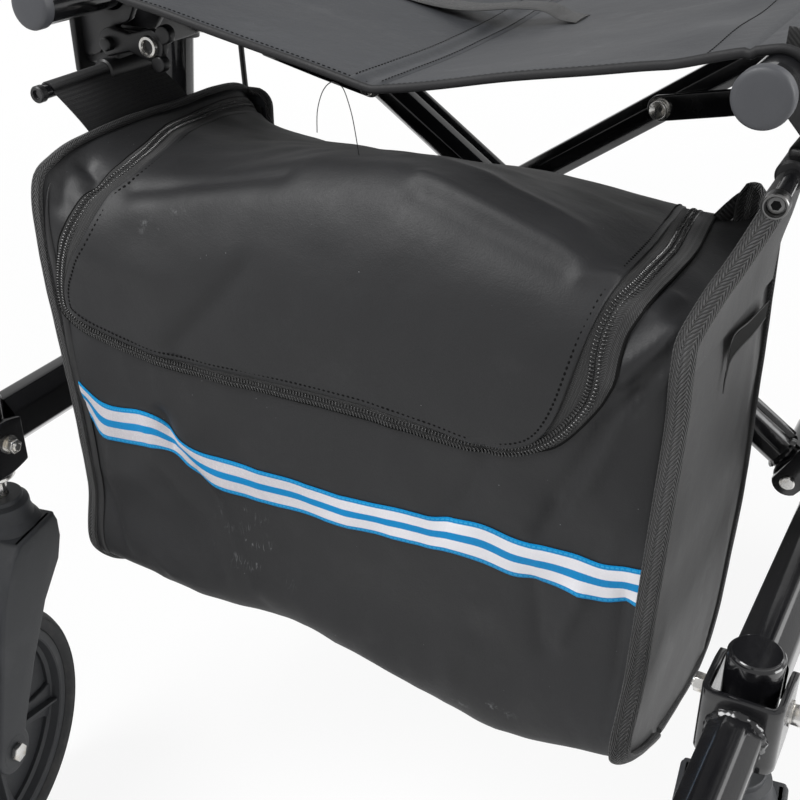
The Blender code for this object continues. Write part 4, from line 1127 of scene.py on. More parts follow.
    def bracket(self) -> None:
        """The cast bracket clamped on the upright, with the cradle for the seat rail and the rod's socket."""
        sign, z, x, cradle = self.sign, self.bracket_z, SIDE_X, self.cradle_r
        clamp = upright_back(z)
        form = Form()
        ring = [(0.0142, -0.0200), (0.0176, -0.0200), (0.0180, -0.0194), (0.0180, 0.0182), (0.0174, 0.0190)]
        form.add(Form().turned(ring + [(0.0142, 0.0190)], 48, True), stood(at(x, clamp, z), (0, UPRIGHT_LEAN, 1)))
        ears = Form().block(at(x - 0.0205, clamp - 0.0205, z - 0.017), at(x - 0.0130, clamp + 0.0195, z + 0.016))
        form.add(ears.eased(0.0022, 3))
        plate = Form().block(at(x - 0.0208, 0.062, z - 0.017), at(x - 0.0160, clamp - 0.004, z + 0.030))
        form.add(plate.eased(0.0020, 3))
        saddle = arc(SEAT_RAIL, 0.0176, -172, -20, 20) + arc(SEAT_RAIL, cradle, -20, -172, 20)
        form.add(Form().slab(saddle, 0.0, 0.0500).moved(front_view(0.1200)).eased(0.0010, 2, 40))
        foot = [(0.2160, 0.5560), (0.2240, 0.5480), (0.2330, 0.5450), (0.2410, 0.5480), (0.2415, 0.5800)]
        foot += [(0.2330, 0.5830)]
        for back, low, turn_to in ((0.0740, 0.0215, -152), (0.1215, 0.0200, -140)):
            cheek = arc(SEAT_RAIL, cradle, -26, -166, 16) + arc(SEAT_RAIL, low, -166, turn_to, 3)
            cheek += arc(SEAT_RAIL, low + 0.0020, -128, -100, 6) + foot
            form.add(Form().slab(cheek, 0.0, 0.0055).moved(front_view(back)).eased(0.0012, 3, 40))
        if sign < 0:
            form.add(self.catch())
        form.add(Form().bar(at(0.2160, 0.0610, ROD_Z), at(0.2148, 0.1035, ROD_Z), 0.0078, 36, 0.0012))
        rib = Form().block(at(0.2110, 0.0700, 0.5400), at(0.2400, 0.1000, 0.5500))
        form.add(rib.eased(0.0030, 3))
        if sign < 0:
            form.moved(Matrix.Diagonal((-1, 1, 1, 1)))
        form.piece(self.named("cast_bracket"), CASTING, Slot.CASTING, self.body, [self.named("seat_bracket")], 30)
        screws = Form()
        seat = at(sign * 0.2360, clamp - 0.0006, z + 0.0085)
        for drop in (0.0, 0.019):
            screws.add(fastener(0.0052, 0.0040, False, 0.0026), outwards(seat - Vector((0, 0, drop)), -sign))
        if sign < 0:
            ring = [(0.0040, 0.0), (0.0066, 0.0), (0.0070, 0.0014), (0.0062, 0.0030), (0.0046, 0.0032)]
            eye = Form().turned(ring + [(0.0040, 0.0022)], 36, True)
            screws.add(eye, stood(at(-0.1755, 0.0618, 0.5585), TO_FRONT))
        screws.piece(self.named("bracket_screws"), ZINC, Slot.ZINC, self.body, angle=25)

    @staticmethod
    def catch() -> Form:
        """The folding catch on the inner face of one bracket, drawn for the left: a lever between two lobed ears."""
        form = Form()
        lever = arc((0.2080, 0.5570), 0.0095, -70, 100, 12) + [(0.1930, 0.5640)]
        lever += arc((0.1755, 0.5585), 0.0100, 70, 290, 14) + [(0.1930, 0.5530)]
        form.add(Form().slab(lever, 0.0, 0.0060).moved(front_view(0.0680)).eased(0.0014, 3, 40))
        for x, z, radius, back in (
            (0.1655, 0.5660, 0.0058, 0.0690), (0.1700, 0.5480, 0.0052, 0.0675), (0.2085, 0.5570, 0.0045, 0.0640),
        ):
            lobe = Form().slab(circle(radius, 28), 0.0, 0.0070).moved(Matrix.Translation((x, 0, z)) @ front_view(back))
            form.add(lobe.eased(0.0014, 3, 40))
        form.add(Form().block(at(0.1900, 0.0700, 0.5520), at(0.2200, 0.0800, 0.5650)).eased(0.0020, 3))
        return form

    def hanger_rod(self) -> None:
        """The rod that the bag hangs on: a bright cup-headed screw ends the left one, and a collar the right one."""
        sign = self.sign
        x, back = self.rod_front
        front = at(sign * x, back, ROD_Z)
        rear = at(sign * 0.2145, 0.1005, ROD_Z)
        form = Form().bar(front, rear, 0.0042, 28, 0.0004)
        form.piece(self.named("hanger_rod"), ENAMEL, Slot.PAINT, self.body, [self.named("bag_hanger_rod")])
        place = stood(front, (front - rear).normalized())
        if self.side is Side.LEFT:
            cup = [(0.0, 0.0008), (0.0043, 0.0008), (0.0047, 0.0030), (0.0051, 0.0040), (0.0058, 0.0040)]
            cup += [(0.0062, 0.0034), (0.0062, -0.0040), (0.0056, -0.0046), (0.0044, -0.0048), (0.0, -0.0048)]
            head = Form().turned(cup, 48)
            head.add(Form().slab(circle(0.0041, 36), 0.0002, 0.0016).eased(0.0003, 2)).moved(place)
            head.piece(self.named("rod_screw"), DARK_STEEL, Slot.ZINC, self.body, angle=25)
            # A thin near-black hexagon over the head paints the shade in its socket.
            key = Form().slab(circle(0.0025, 6), 0.0014, 0.0018).moved(place)
            key.piece(self.named("rod_screw_socket"), SEWING, Slot.ZINC, self.body, angle=25)
        else:
            lip = [(0.0026, 0.0004), (0.0030, 0.0016), (0.0046, 0.0018), (0.0052, 0.0010), (0.0052, -0.0030)]
            head = Form().turned(lip + [(0.0044, -0.0036), (0.0026, -0.0020)], 40, True).moved(place)
            head.piece(self.named("rod_collar"), CASTING, Slot.PAINT, self.body, angle=25)

    def foot_pin(self) -> None:
        """The strut's foot pin between two lugs on the rail."""
        sign = self.sign
        x, z = FOOT_PIN
        ends = [at(sign * x, FOOT_PIN_BACK + way * 0.0455, z) for way in (-1, 1)]
        form = Form().bar(*ends, 0.005, 28, 0.0008)
        form.piece(self.named("foot_pin_bar"), ZINC, Slot.ZINC, self.body, [self.named("foot_pin")])
        lugs = Form()
        for end in (-1, 1):
            outline = arc((x, z), 0.0105, 180, 300, 8) + [(0.2427, 0.3000), (0.2427, 0.3280), (0.2340, 0.3270)]
            lug = Form().slab(outline, -0.00375, 0.00375)
            if sign < 0:
                lug.moved(Matrix.Diagonal((-1, 1, 1, 1)))
            lugs.add(lug.moved(front_view(FOOT_PIN_BACK + end * 0.03975)).eased(0.0008, 2, 40))
        lugs.piece(self.named("rail_lugs"), ENAMEL, Slot.PAINT, self.body)

    def axle_head(self) -> None:
        """The head and washer on the inner end of the rear axle."""
        sign = self.sign
        form = Form()
        form.add(fastener(0.0078, 0.0050, True), outwards(at(sign * 0.2425, REAR_AXLE_BACK, AXLE_Z), -sign))
        washer = Form().slab(circle(0.0098, 36), 0.0, 0.0012)
        form.add(washer, outwards(at(sign * 0.2428, REAR_AXLE_BACK, AXLE_Z), -sign))
        form.piece(self.named("axle_head"), ZINC, Slot.ZINC, self.body, angle=25)

    def cable(self) -> None:
        """The brake cable along its packed route, with its ferrules; the upper ferrule rides on the handle."""
        x, sign = SIDE_X, self.sign
        points = [(x, 0.2865, 0.906), (x - 0.004, 0.273, 0.898), (x - 0.016, 0.250, 0.860), (x - 0.023, 0.246, 0.800)]
        points += [(x - 0.024, 0.238, 0.720), (x - 0.023, 0.232, 0.640), (x - 0.024, 0.230, 0.560)]
        points += [(x - 0.023, 0.235, 0.480), (x - 0.020, 0.246, 0.410), (x - 0.010, 0.262, 0.370)]
        points += [(x + 0.006, 0.281, 0.356), (x + 0.0195, 0.297, 0.337), (x + 0.0240, 0.310, 0.312)]
        points += [(x + 0.0245, 0.3165, 0.292), (x + 0.0245, 0.3190, 0.2735)]
        route = [at(sign * px, back, z) for px, back, z in points]
        path = even_route(smooth_route(route, 8), 0.004)
        form = Form().swept(path, circle(self.cable_r, 14), up=(1, 0, 0))
        cable = form.piece(self.named("cable_sleeve"), SLEEVE, Slot.SLEEVE, "", [self.named("brake_cable")])
        handle = self.named("handle")
        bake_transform(cable)
        for place, body, start, end in (("upper", handle, path[0], path[4]), ("lower", self.body, path[-5], path[-1])):
            tip = Form().bar(start, start + (end - start).normalized() * 0.014, 0.0030, 24, 0.0006)
            tip.piece(self.named(f"cable_ferrule_{place}"), ZINC, Slot.ZINC, body)


@dataclass
class Wheel:
    """A moulded wheel of five spokes with a rubber tyre, about its own middle and turning about X."""

    radius: float = 0.100
    half: float = 0.016
    rim: float = 0.0862
    hub: float = 0.019

    def build(self, name: str, place: Matrix) -> None:
        """Builds the wheel at its place.

        Args:
            name: The name of the CAD wheel and of the body that it turns with.
            place: Where its middle is and how its axle lies.

        Returns:
            Nothing.
        """
        turn = place @ facing((1, 0, 0))
        self.tyre().moved(turn).piece(f"{name}_tread", TYRE, Slot.TYRE, name, [f"{name}_tyre"], 30)
        self.disc().moved(turn).piece(f"{name}_disc", PLASTIC, Slot.PLASTIC, name, [f"{name}_hub"], 28)
        caps = Form()
        dome = [(0.0, 0.0182), (0.0042, 0.0178), (0.0070, 0.0166), (0.0092, 0.0156), (0.0105, 0.0148)]
        for end in (1, -1):
            cap = Form().turned(dome + [(0.0105, 0.0138), (0.0047, 0.0138)], 36)
            caps.add(cap, Matrix.Diagonal((1, 1, end, 1)))
        caps.moved(turn).piece(f"{name}_bearing_caps", BLACK_PLASTIC, Slot.PLASTIC, name)

    def tyre(self) -> Form:
        """The tyre, with a bead line on each wall and two grooves in its tread."""
        r, w, seat = self.radius, self.half, self.rim + 0.0003
        side = [(seat, 0.0125), (seat + 0.0020, 0.0150), (seat + 0.0042, w), (r - 0.0068, w), (r - 0.0062, w - 0.0007)]
        side += [(r - 0.0056, w - 0.0007), (r - 0.0050, w - 0.0003), (r - 0.0030, w - 0.0024), (r - 0.0010, w - 0.0060)]
        side += [(r - 0.0002, 0.0072), (r - 0.0016, 0.0062), (r - 0.0016, 0.0052), (r, 0.0042)]
        return Form().turned(both_faces(side), 96, ring=True)

    def disc(self) -> Form:
        """The hub barrel, rim and five ribbed spokes."""
        rim, hub = self.rim, self.hub
        barrel = [(0.0048, -0.0150), (hub - 0.0035, -0.0150), (hub - 0.0020, -0.0142), (hub, -0.0060)]
        form = Form().turned(both_faces(barrel + [(hub + 0.0010, -0.0050)]), 64, ring=True)
        ring = [(rim - 0.0110, -0.0042), (rim - 0.0085, -0.0060), (rim - 0.0068, -0.0116), (rim - 0.0058, -0.0125)]
        ring += [(rim - 0.0004, -0.0125), (rim, -0.0121)]
        form.add(Form().turned(both_faces(ring), 96, ring=True))
        web = [(hub - 0.0010, -0.0015), (rim - 0.0090, -0.0015)]
        form.add(Form().turned(both_faces(web), 96, ring=True))
        for spoke in range(5):
            outline = [(0.0170, -0.0098), (0.0300, -0.0088), (0.0560, -0.0096), (0.0700, -0.0124), (0.0785, -0.0170)]
            blade = Form().slab(both_faces(outline), -0.0050, 0.0050).eased(0.0016, 3, 40)
            rib = Form().slab(both_faces([(0.0170, -0.0013), (0.0780, -0.0010)]), -0.0105, 0.0105)
            blade.add(rib.eased(0.0006, 2, 40))
            form.add(blade, Matrix.Rotation(math.radians(72 * spoke + 54), 4, "Z"))
        return form


@dataclass
class Caster(Sided):
    """One front caster: its fork, axle nuts and wheel, turned about the stem as it stands."""

    trail: float = 0.072
    half: float = 0.028
    slot_half: float = 0.0205
    turn: float = field(init=False)

    def __post_init__(self) -> None:
        """Takes the side's own turn."""
        self.turn = math.radians(8.0 if self.side is Side.LEFT else 11.0)

    @property
    def place(self) -> Matrix:
        """From the stem's own frame, with X across and Y to the rear, to the rollator's."""
        return Matrix.Translation(at(self.x, HEAD_BACK, 0)) @ Matrix.Rotation(self.turn, 4, "Z")

    def build(self) -> None:
        """Builds the fork and the wheel."""
        body = self.named("caster")
        form = self.fork()
        form.moved(self.place).piece(self.named("fork"), PLASTIC, Slot.PLASTIC, body, [self.named("caster_fork")], 34)
        nuts = Form()
        for end in (1, -1):
            nuts.add(fastener(0.0070, 0.0042, True), outwards((end * (self.half + 0.0003), -self.trail, AXLE_Z), end))
        nuts.moved(self.place).piece(self.named("fork_nuts"), ZINC, Slot.ZINC, body, angle=25)
        middle = self.place @ Matrix.Translation((0, -self.trail, AXLE_Z))
        Wheel().build(self.named("front_wheel"), middle)

    def fork(self) -> Form:
        """The moulded fork: a collar, a swelling bridge and two blades that carry the axle."""
        form = Form()
        collar = [(0.0064, 0.2685), (0.0145, 0.2685), (0.0150, 0.2679), (0.0152, 0.2650), (0.0186, 0.2630)]
        collar += [(0.0190, 0.2615), (0.0192, 0.2560), (0.0206, 0.2520), (0.0210, 0.2470), (0.0064, 0.2470)]
        form.add(Form().turned(collar, 56, ring=True))
        form.add(self.bridge())
        outline = [(0.0185, 0.2460), (-0.0230, 0.2460), (-0.0330, 0.2400), (-0.0430, 0.2280), (-0.0520, 0.2120)]
        outline += [(-0.0600, 0.1900)] + arc((-self.trail, AXLE_Z), 0.0170, 150, 385, 22)
        outline += [(-0.0330, 0.1500), (-0.0080, 0.1870), (0.0150, 0.2080), (0.0215, 0.2240), (0.0215, 0.2380)]
        for end in (1, -1):
            inner, outer = sorted((end * self.slot_half, end * self.half))
            form.add(Form().slab(outline, inner, outer).moved(edgewise()).eased(0.0026, 4, 35))
            boss = Form().turned([(0.0, 0.0), (0.0120, 0.0), (0.0128, -0.0006), (0.0128, -0.0030), (0.0, -0.0030)], 40)
            form.add(boss, outwards((end * (self.half + 0.0002), -self.trail, AXLE_Z), end))
        roof = [(0.0200, 0.2460), (-0.0250, 0.2460), (-0.0345, 0.2385), (-0.0440, 0.2268), (-0.0505, 0.2140)]
        roof += [(-0.0455, 0.2125), (-0.0340, 0.2275), (-0.0160, 0.2338), (0.0080, 0.2243), (0.0190, 0.2190)]
        form.add(Form().slab(roof, -self.half + 0.001, self.half - 0.001).moved(edgewise()).eased(0.0020, 3, 35))
        return form

    @staticmethod
    def bridge() -> Form:
        """The bridge between the collar and the blades, from a round neck to a rounded square."""
        form, steps = Form(), 40
        edges = form.loop((x, y, 0.2535) for x, y in circle(0.0195, steps))
        bmesh.ops.contextual_create(form.bm, geom=edges)
        sections = ((0.2480, 0.0, 0.0225, 0.0205), (0.2420, -0.0030, 0.0262, 0.0240), (0.2340, -0.0070, 0.0277, 0.0272))
        for z, back, wide, deep in sections:
            ring, edges = form.grow(edges)
            ring.sort(key=lambda vert: math.atan2(vert.co.y, vert.co.x) % (2 * math.pi))
            for vert, (x, y) in zip(ring, circle(1.0, steps)):
                square = 1.0 / max(abs(x), abs(y)) ** 0.45
                vert.co = (x * wide * min(square, 1.12), back + y * deep * min(square, 1.10), z)
        bmesh.ops.contextual_create(form.bm, geom=edges)
        return form


@dataclass
class RearBrake(Sided):
    """The rear wheel and the brake arm with its shoe in front of the tyre."""

    pivot: Pair = (0.3373, 0.2515)

    def build(self) -> None:
        """Builds the wheel, the arm and its pivot screw."""
        sign = self.sign
        axle = (REAR_AXLE_BACK, AXLE_Z)
        Wheel().build(self.named("rear_wheel"), Matrix.Translation(at(sign * 0.2935, *axle)))
        y, z = self.pivot
        outline = [(y + 0.0050, z + 0.0095), (y - 0.0160, z + 0.0150), (y - 0.0205, z + 0.0130)]
        outline += [(y - 0.0220, z + 0.0100), (y - 0.0190, z + 0.0030), (y - 0.0050, z - 0.0095)]
        outline += arc(axle, 0.1031, 116, 88, 14) + arc(axle, 0.1148, 86, 108, 12)
        low, high = sorted((sign * 0.2718, sign * 0.3063))
        form = Form().slab(outline, low, high).moved(side_view()).eased(0.0014, 3, 35)
        form.piece(self.named("shoe_arm"), CASTING, Slot.CASTING, self.named("brake"), [self.named("brake_shoe")], 30)
        lining = arc(axle, 0.1029, 112, 90, 12) + arc(axle, 0.1052, 90, 112, 12)
        low, high = sorted((sign * 0.2810, sign * 0.3050))
        pad = Form().slab(lining, low, high).moved(side_view()).eased(0.0004, 2, 40)
        pad.piece(self.named("shoe_lining"), TYRE, Slot.CASTING, self.named("brake"))
        screw = fastener(0.0062, 0.0046, True)
        screw.add(Form().slab(circle(0.0082, 36), -0.0010, 0.0002))
        seat = outwards(at(sign * 0.3074, y - 0.004, z + 0.0010), sign)
        screw.moved(seat).piece(self.named("shoe_screw"), ZINC, Slot.ZINC, self.named("brake"), angle=25)


@dataclass
class Handle(Sided):
    """One sliding handle: its tube, grip, brake housing and lever, and the height knob on the upright."""

    grip_z: float = 0.930
    grip_back: float = 0.335
    grip_length: float = 0.115

    def build(self) -> None:
        """Builds every piece of the handle."""
        self.tube()
        self.grip()
        self.housing()
        self.lever()
        self.knob()

    def tube(self) -> None:
        """The handle tube: up from inside the upright and round to the grip."""
        x = self.x
        low_z, high_z = 0.560, self.grip_z
        corners = [at(x, upright_back(low_z), low_z), at(x, upright_back(high_z), high_z), at(x, 0.446, high_z)]
        form = Form().swept(bent_route(corners, 0.055, 20), circle(0.0110, 36), up=(1, 0, 0))
        form.piece(self.named("handle_bar"), ENAMEL, Slot.PAINT, self.named("handle"), [self.named("handle_tube")])

    def grip(self) -> None:
        """The grip: a flange, a palm swell, rings of finger ribs and a domed end."""
        x = self.x
        length, r = self.grip_length, 0.0175
        profile = [(0.0113, 0.0), (r + 0.0020, 0.0), (r + 0.0030, 0.0010), (r + 0.0030, 0.0032), (r + 0.0022, 0.0044)]
        profile += [(r - 0.0010, 0.0062), (r - 0.0020, 0.0100)]
        for rib in range(13):
            along = 0.0130 + rib * 0.0068
            swell = r - 0.0020 + 0.0020 * math.sin(math.pi * min(1.0, along / 0.100))
            profile += [(swell - 0.0008, along), (swell, along + 0.0012)]
            profile += [(swell, along + 0.0046), (swell - 0.0008, along + 0.0058)]
        profile += [(r - 0.0012, length - 0.0090), (r - 0.0022, length - 0.0040), (r - 0.0050, length - 0.0008)]
        form = Form().turned(profile + [(r - 0.0080, length), (0.0, length)], 56)
        form.moved(stood(at(x, self.grip_back, self.grip_z), TO_REAR))
        form.piece(self.named("hand_grip"), GRIP, Slot.GRIP, self.named("handle"), [self.named("grip")], 40)

    def housing(self) -> None:
        """The lever's housing as a clamped shell in two halves, with its pivot screw and barrel adjuster."""
        sign, x = self.sign, self.x
        outline = [(0.2892, 0.9060), (0.2892, 0.9330), (0.2930, 0.9405), (0.3000, 0.9450), (0.3260, 0.9450)]
        outline += [(0.3335, 0.9420), (0.3340, 0.9130), (0.3300, 0.9110), (0.3230, 0.8940), (0.3160, 0.8915)]
        outline += [(0.2950, 0.8915), (0.2900, 0.8960)]
        form = Form()
        for low, high in ((-0.0165, -0.0078), (0.0078, 0.0165)):
            cheek = Form().slab(outline, x + low, x + high).moved(side_view()).eased(0.0022, 3, 35)
            form.add(cheek)
        ring = [(0.0114, 0.0), (0.0150, 0.0), (0.0156, 0.0008), (0.0156, 0.0430), (0.0150, 0.0438), (0.0114, 0.0438)]
        form.add(Form().turned(ring, 48, True), stood(at(x, 0.2895, self.grip_z), TO_REAR))
        name, node = self.named("lever_housing"), self.named("brake_housing")
        form.piece(name, BLACK_PLASTIC, Slot.PLASTIC, self.named("handle"), [node], 30)
        screws = Form()
        for end in (1, -1):
            screws.add(fastener(0.0044, 0.0018, False, 0.0021), outwards(at(x + end * 0.0163, *LEVER_PIVOT), end))
        screws.piece(self.named("lever_screws"), ZINC, Slot.ZINC, self.named("handle"), angle=25)
        barrel = [(0.0, 0.0), (0.0040, 0.0), (0.0044, 0.0006)]
        for ring_index in range(4):
            barrel += [(0.0044, 0.0012 + ring_index * 0.0018), (0.0040, 0.0018 + ring_index * 0.0018)]
        barrel = Form().turned(barrel + [(0.0042, 0.0092), (0.0030, 0.0098), (0.0, 0.0098)], 32)
        barrel.moved(stood(at(x, 0.2912, 0.9085), (-sign * 0.30, -0.80, -0.52)))
        barrel.piece(self.named("barrel_adjuster"), BLACK_PLASTIC, Slot.PLASTIC, self.named("handle"))

    def lever(self) -> None:
        """The brake lever, a flat-sided blade with a ball at its end."""
        x = self.x
        corners = [at(x, *LEVER_PIVOT), at(x, 0.343, 0.876), at(x, 0.436, 0.868)]
        path = bent_route(corners, 0.040, 10)
        form = Form().swept(path, octagon(0.014, 0.009, 0.0026, 3), up=(0, 0, 1))
        round_end = [(0.0, 0.0), (0.0058, 0.0), (0.0066, 0.0008), (0.0066, 0.0132), (0.0058, 0.0140), (0.0, 0.0140)]
        form.add(Form().turned(round_end, 32), outwards(at(x - 0.0070, *LEVER_PIVOT), 1.0))
        tip = Form()
        bmesh.ops.create_uvsphere(tip.bm, u_segments=24, v_segments=14, radius=0.0068)
        tip.moved(Matrix.Diagonal((1.02, 0.75, 0.66, 1)))
        form.add(tip, Matrix.Translation(corners[-1] + Vector((0, -0.0028, 0))))
        name = self.named("brake_lever")
        form.piece(self.named("lever_blade"), CASTING, Slot.CASTING, name, [name], 30)

    def knob(self) -> None:
        """The height knob: a threaded boss and a head with eight scallops."""
        sign = self.sign
        profile = [(0.0, 0.0238), (0.0090, 0.0238), (0.0120, 0.0232), (0.0150, 0.0238), (0.0172, 0.0234)]
        profile += [(0.0186, 0.0222), (0.0190, 0.0200), (0.0190, 0.0110), (0.0184, 0.0085), (0.0168, 0.0064)]
        profile += [(0.0090, 0.0060), (0.0062, 0.0052), (0.0060, 0.0002), (0.0, 0.0002)]
        form = Form().turned(profile, 96)
        for vert in form.bm.verts:
            radius = math.hypot(vert.co.x, vert.co.y)
            if radius > 0.0140 and vert.co.z < 0.0236:
                wave = 0.5 + 0.5 * math.cos(8 * math.atan2(vert.co.y, vert.co.x))
                vert.co.xy = vert.co.xy * (1 - 0.13 * wave**1.5)
        z = 0.745
        form.moved(outwards(at(sign * 0.2713, upright_back(z), z), sign))
        name = self.named("height_knob")
        form.piece(self.named("star_knob"), BLACK_PLASTIC, Slot.PLASTIC, name, [name], 40)


@dataclass
class Strut(Sided):
    """One strut of the cross with its foot sleeve, seat rail, rail cap and link plate."""

    foot_x: float = FOOT_PIN[0]
    foot_z: float = FOOT_PIN[1]
    rail_x: float = SEAT_RAIL[0]
    rail_z: float = SEAT_RAIL[1]
    bolt_x: float = 0.0975
    back: float = field(init=False)
    body: str = field(init=False)

    def __post_init__(self) -> None:
        """Takes the strut's own plane."""
        self.back = 0.246 if self.side is Side.LEFT else 0.2085
        self.body = self.named("strut")

    @property
    def foot(self) -> Vector:
        """The middle of the strut's foot."""
        return at(-self.sign * self.foot_x, self.back, self.foot_z)

    @property
    def run(self) -> Vector:
        """The direction from the foot to the seat rail."""
        return (at(self.sign * self.rail_x, self.back, self.rail_z) - self.foot).normalized()

    @property
    def cross_z(self) -> float:
        """The height where the two struts cross."""
        return self.foot_z + (self.rail_z - self.foot_z) * self.foot_x / (self.foot_x + self.rail_x)

    def build(self) -> None:
        """Builds every piece of the strut."""
        self.arm()
        self.seat_rail()
        self.cap()
        self.link_plate()
        if self.side is Side.RIGHT:
            self.brace_rod()
            self.cross_bolt()
        else:
            self.spacer()

    def arm(self) -> None:
        """The flat-sided strut and the sleeve on its foot, with the weld bead between them."""
        sign = self.sign
        head = at(sign * self.rail_x, self.back, self.rail_z)
        end = head - self.run * 0.0136
        form = Form().swept([self.foot + self.run * 0.006, end], octagon(0.020, 0.020, 0.0058, 3), up=(0, 1, 0))
        foot = at(-sign * self.foot_x, FOOT_PIN_BACK, self.foot_z)
        ring = [(0.0053, 0.0), (0.0108, 0.0), (0.0115, 0.0007), (0.0115, 0.0693), (0.0108, 0.0700), (0.0053, 0.0700)]
        form.add(Form().turned(ring, 44, True), stood(foot - Vector((0, 0.035, 0)), TO_REAR))
        form.piece(self.named("strut_bar"), ENAMEL, Slot.PAINT, self.body, [self.named("cross_arm")], 24)
        weld = [(0.0092, 0.0), (0.0126, 0.0), (0.0122, 0.0016), (0.0112, 0.0028), (0.0092, 0.0030)]
        bead = Form().turned(weld, 60, True).rippled((0.03, 17, 0))
        bead.moved(stood(self.foot + self.run * 0.0112, self.run))
        bead.piece(self.named("foot_weld"), ENAMEL, Slot.PAINT, self.body)

    def seat_rail(self) -> None:
        """The round seat rail, with a flush moulded plug in its rear end."""
        x = self.sign * self.rail_x
        form = Form().bar(at(x, 0.0083, self.rail_z), at(x, 0.3200, self.rail_z), 0.0127, 48, 0.0005)
        form.piece(self.named("seat_tube"), ENAMEL, Slot.PAINT, self.body, [self.named("seat_rail")])
        dome = [(0.0, 0.0021), (0.0080, 0.0020), (0.0112, 0.0014), (0.0122, 0.0004), (0.0122, -0.004), (0.0, -0.004)]
        plug = Form().turned(dome, 44).moved(stood(at(x, 0.3200, self.rail_z), TO_REAR))
        plug.piece(self.named("rear_rail_cap"), CAP_PLASTIC, Slot.PLASTIC, self.body)

    def cap(self) -> None:
        """The grey moulded cap in the seat rail's front end, faintly domed, with a rounded lip."""
        profile = [(0.0, 0.0), (0.0060, 0.00005), (0.0108, 0.00025), (0.0126, 0.0007), (0.0134, 0.0013)]
        profile += [(0.0138, 0.0022), (0.0138, 0.0074), (0.0134, 0.0080), (0.0108, 0.0080), (0.0108, 0.0216)]
        form = Form().turned(profile + [(0.0, 0.0216)], 64)
        form.moved(stood(at(self.sign * self.rail_x, 0.0, self.rail_z), TO_REAR))
        name = self.named("front_rail_cap")
        form.piece(name, CAP_PLASTIC, Slot.PLASTIC, self.body, [self.named("seat_rail_cap")], 32)

    def link_plate(self) -> None:
        """The pressed link plate under the seat rail and the bright bolt that holds it."""
        sign, x = self.sign, self.bolt_x
        rise = (self.rail_z - self.foot_z) / (self.foot_x + self.rail_x)
        bolt_z, half, weld, thick = self.cross_z + x * rise, 0.0085, 0.5766, 0.004
        outline = arc((x, bolt_z), half, 100, 280, 16)
        outline += [(0.140, bolt_z - half + 0.0086), (0.186, bolt_z - half + 0.0190), (0.194, bolt_z + 0.0158)]
        outline += [(0.201, bolt_z + 0.0290), (0.208, 0.5600), (0.208, weld), (0.197, weld)]
        outline += [(0.1945, bolt_z + half + 0.0270), (0.188, bolt_z + half + 0.0195), (0.140, bolt_z + half + 0.0088)]
        front = self.back - 0.010 - thick - 0.0003
        form = Form().slab([(sign * across, z) for across, z in outline], 0.0, thick)
        form.moved(front_view(front + thick)).eased(0.0009, 3, 40)
        form.piece(self.named("link_strip"), ENAMEL, Slot.PAINT, self.body, [self.named("link_plate")], 30)
        bolt = fastener(0.0058, 0.0042, False, 0.0027)
        bolt.add(Form().slab(circle(0.0076, 36), -0.0012, 0.0))
        bolt.moved(stood(at(sign * x, front - 0.0012, bolt_z), TO_FRONT))
        bolt.piece(self.named("link_bolt"), ZINC, Slot.ZINC, self.body, angle=25)
        tail = at(sign * x, self.back + 0.0102, bolt_z)
        nut = fastener(0.0060, 0.0045, True).moved(Matrix.Translation(tail) @ facing(TO_FRONT).inverted())
        nut.piece(self.named("link_nut"), ZINC, Slot.ZINC, self.body, angle=25)

    def brace_rod(self) -> None:
        """The thin rod beside this strut."""
        back, run = 0.2273, Vector((-self.rail_x - self.foot_x, 0, self.rail_z - self.foot_z)).normalized()
        start = at(self.foot_x, back, self.foot_z) + run * 0.0121
        end = at(-self.rail_x, back, self.rail_z) - run * 0.0133
        form = Form().bar(start, end, 0.0070, 32, 0.0003)
        form.piece("brace_bar", ENAMEL, Slot.PAINT, self.body, ["brace_rod"])

    def cross_bolt(self) -> None:
        """The bolt that the struts turn on, with its washers and locking nut."""
        z, front, rear = self.cross_z, 0.1985, 0.2560
        form = Form().bar(at(0, front - 0.001, z), at(0, rear + 0.001, z), 0.0038, 24)
        form.add(fastener(0.0066, 0.0044, False, 0.0030), stood(at(0, front - 0.0014, z), TO_FRONT))
        form.add(Form().slab(circle(0.0075, 36), 0.0002, 0.0014), stood(at(0, front, z), TO_FRONT))
        form.add(fastener(0.0072, 0.0052, True), stood(at(0, rear + 0.0016, z), TO_REAR))
        form.add(Form().slab(circle(0.0075, 36), 0.0003, 0.0015), stood(at(0, rear, z), TO_REAR))
        form.piece("cross_bolt_set", ZINC, Slot.ZINC, self.body, ["cross_bolt"], 25)

    def spacer(self) -> None:
        """The moulded knuckle between the struts where they cross."""
        ring = [(0.0043, -0.0007), (0.0100, -0.0007), (0.0100, 0.0007), (0.0043, 0.0007)]
        form = Form().turned(ring, 36, True).moved(stood(at(0, 0.2352, self.cross_z), TO_REAR))
        form.piece("cross_washer", BLACK_PLASTIC, Slot.PLASTIC, self.body)


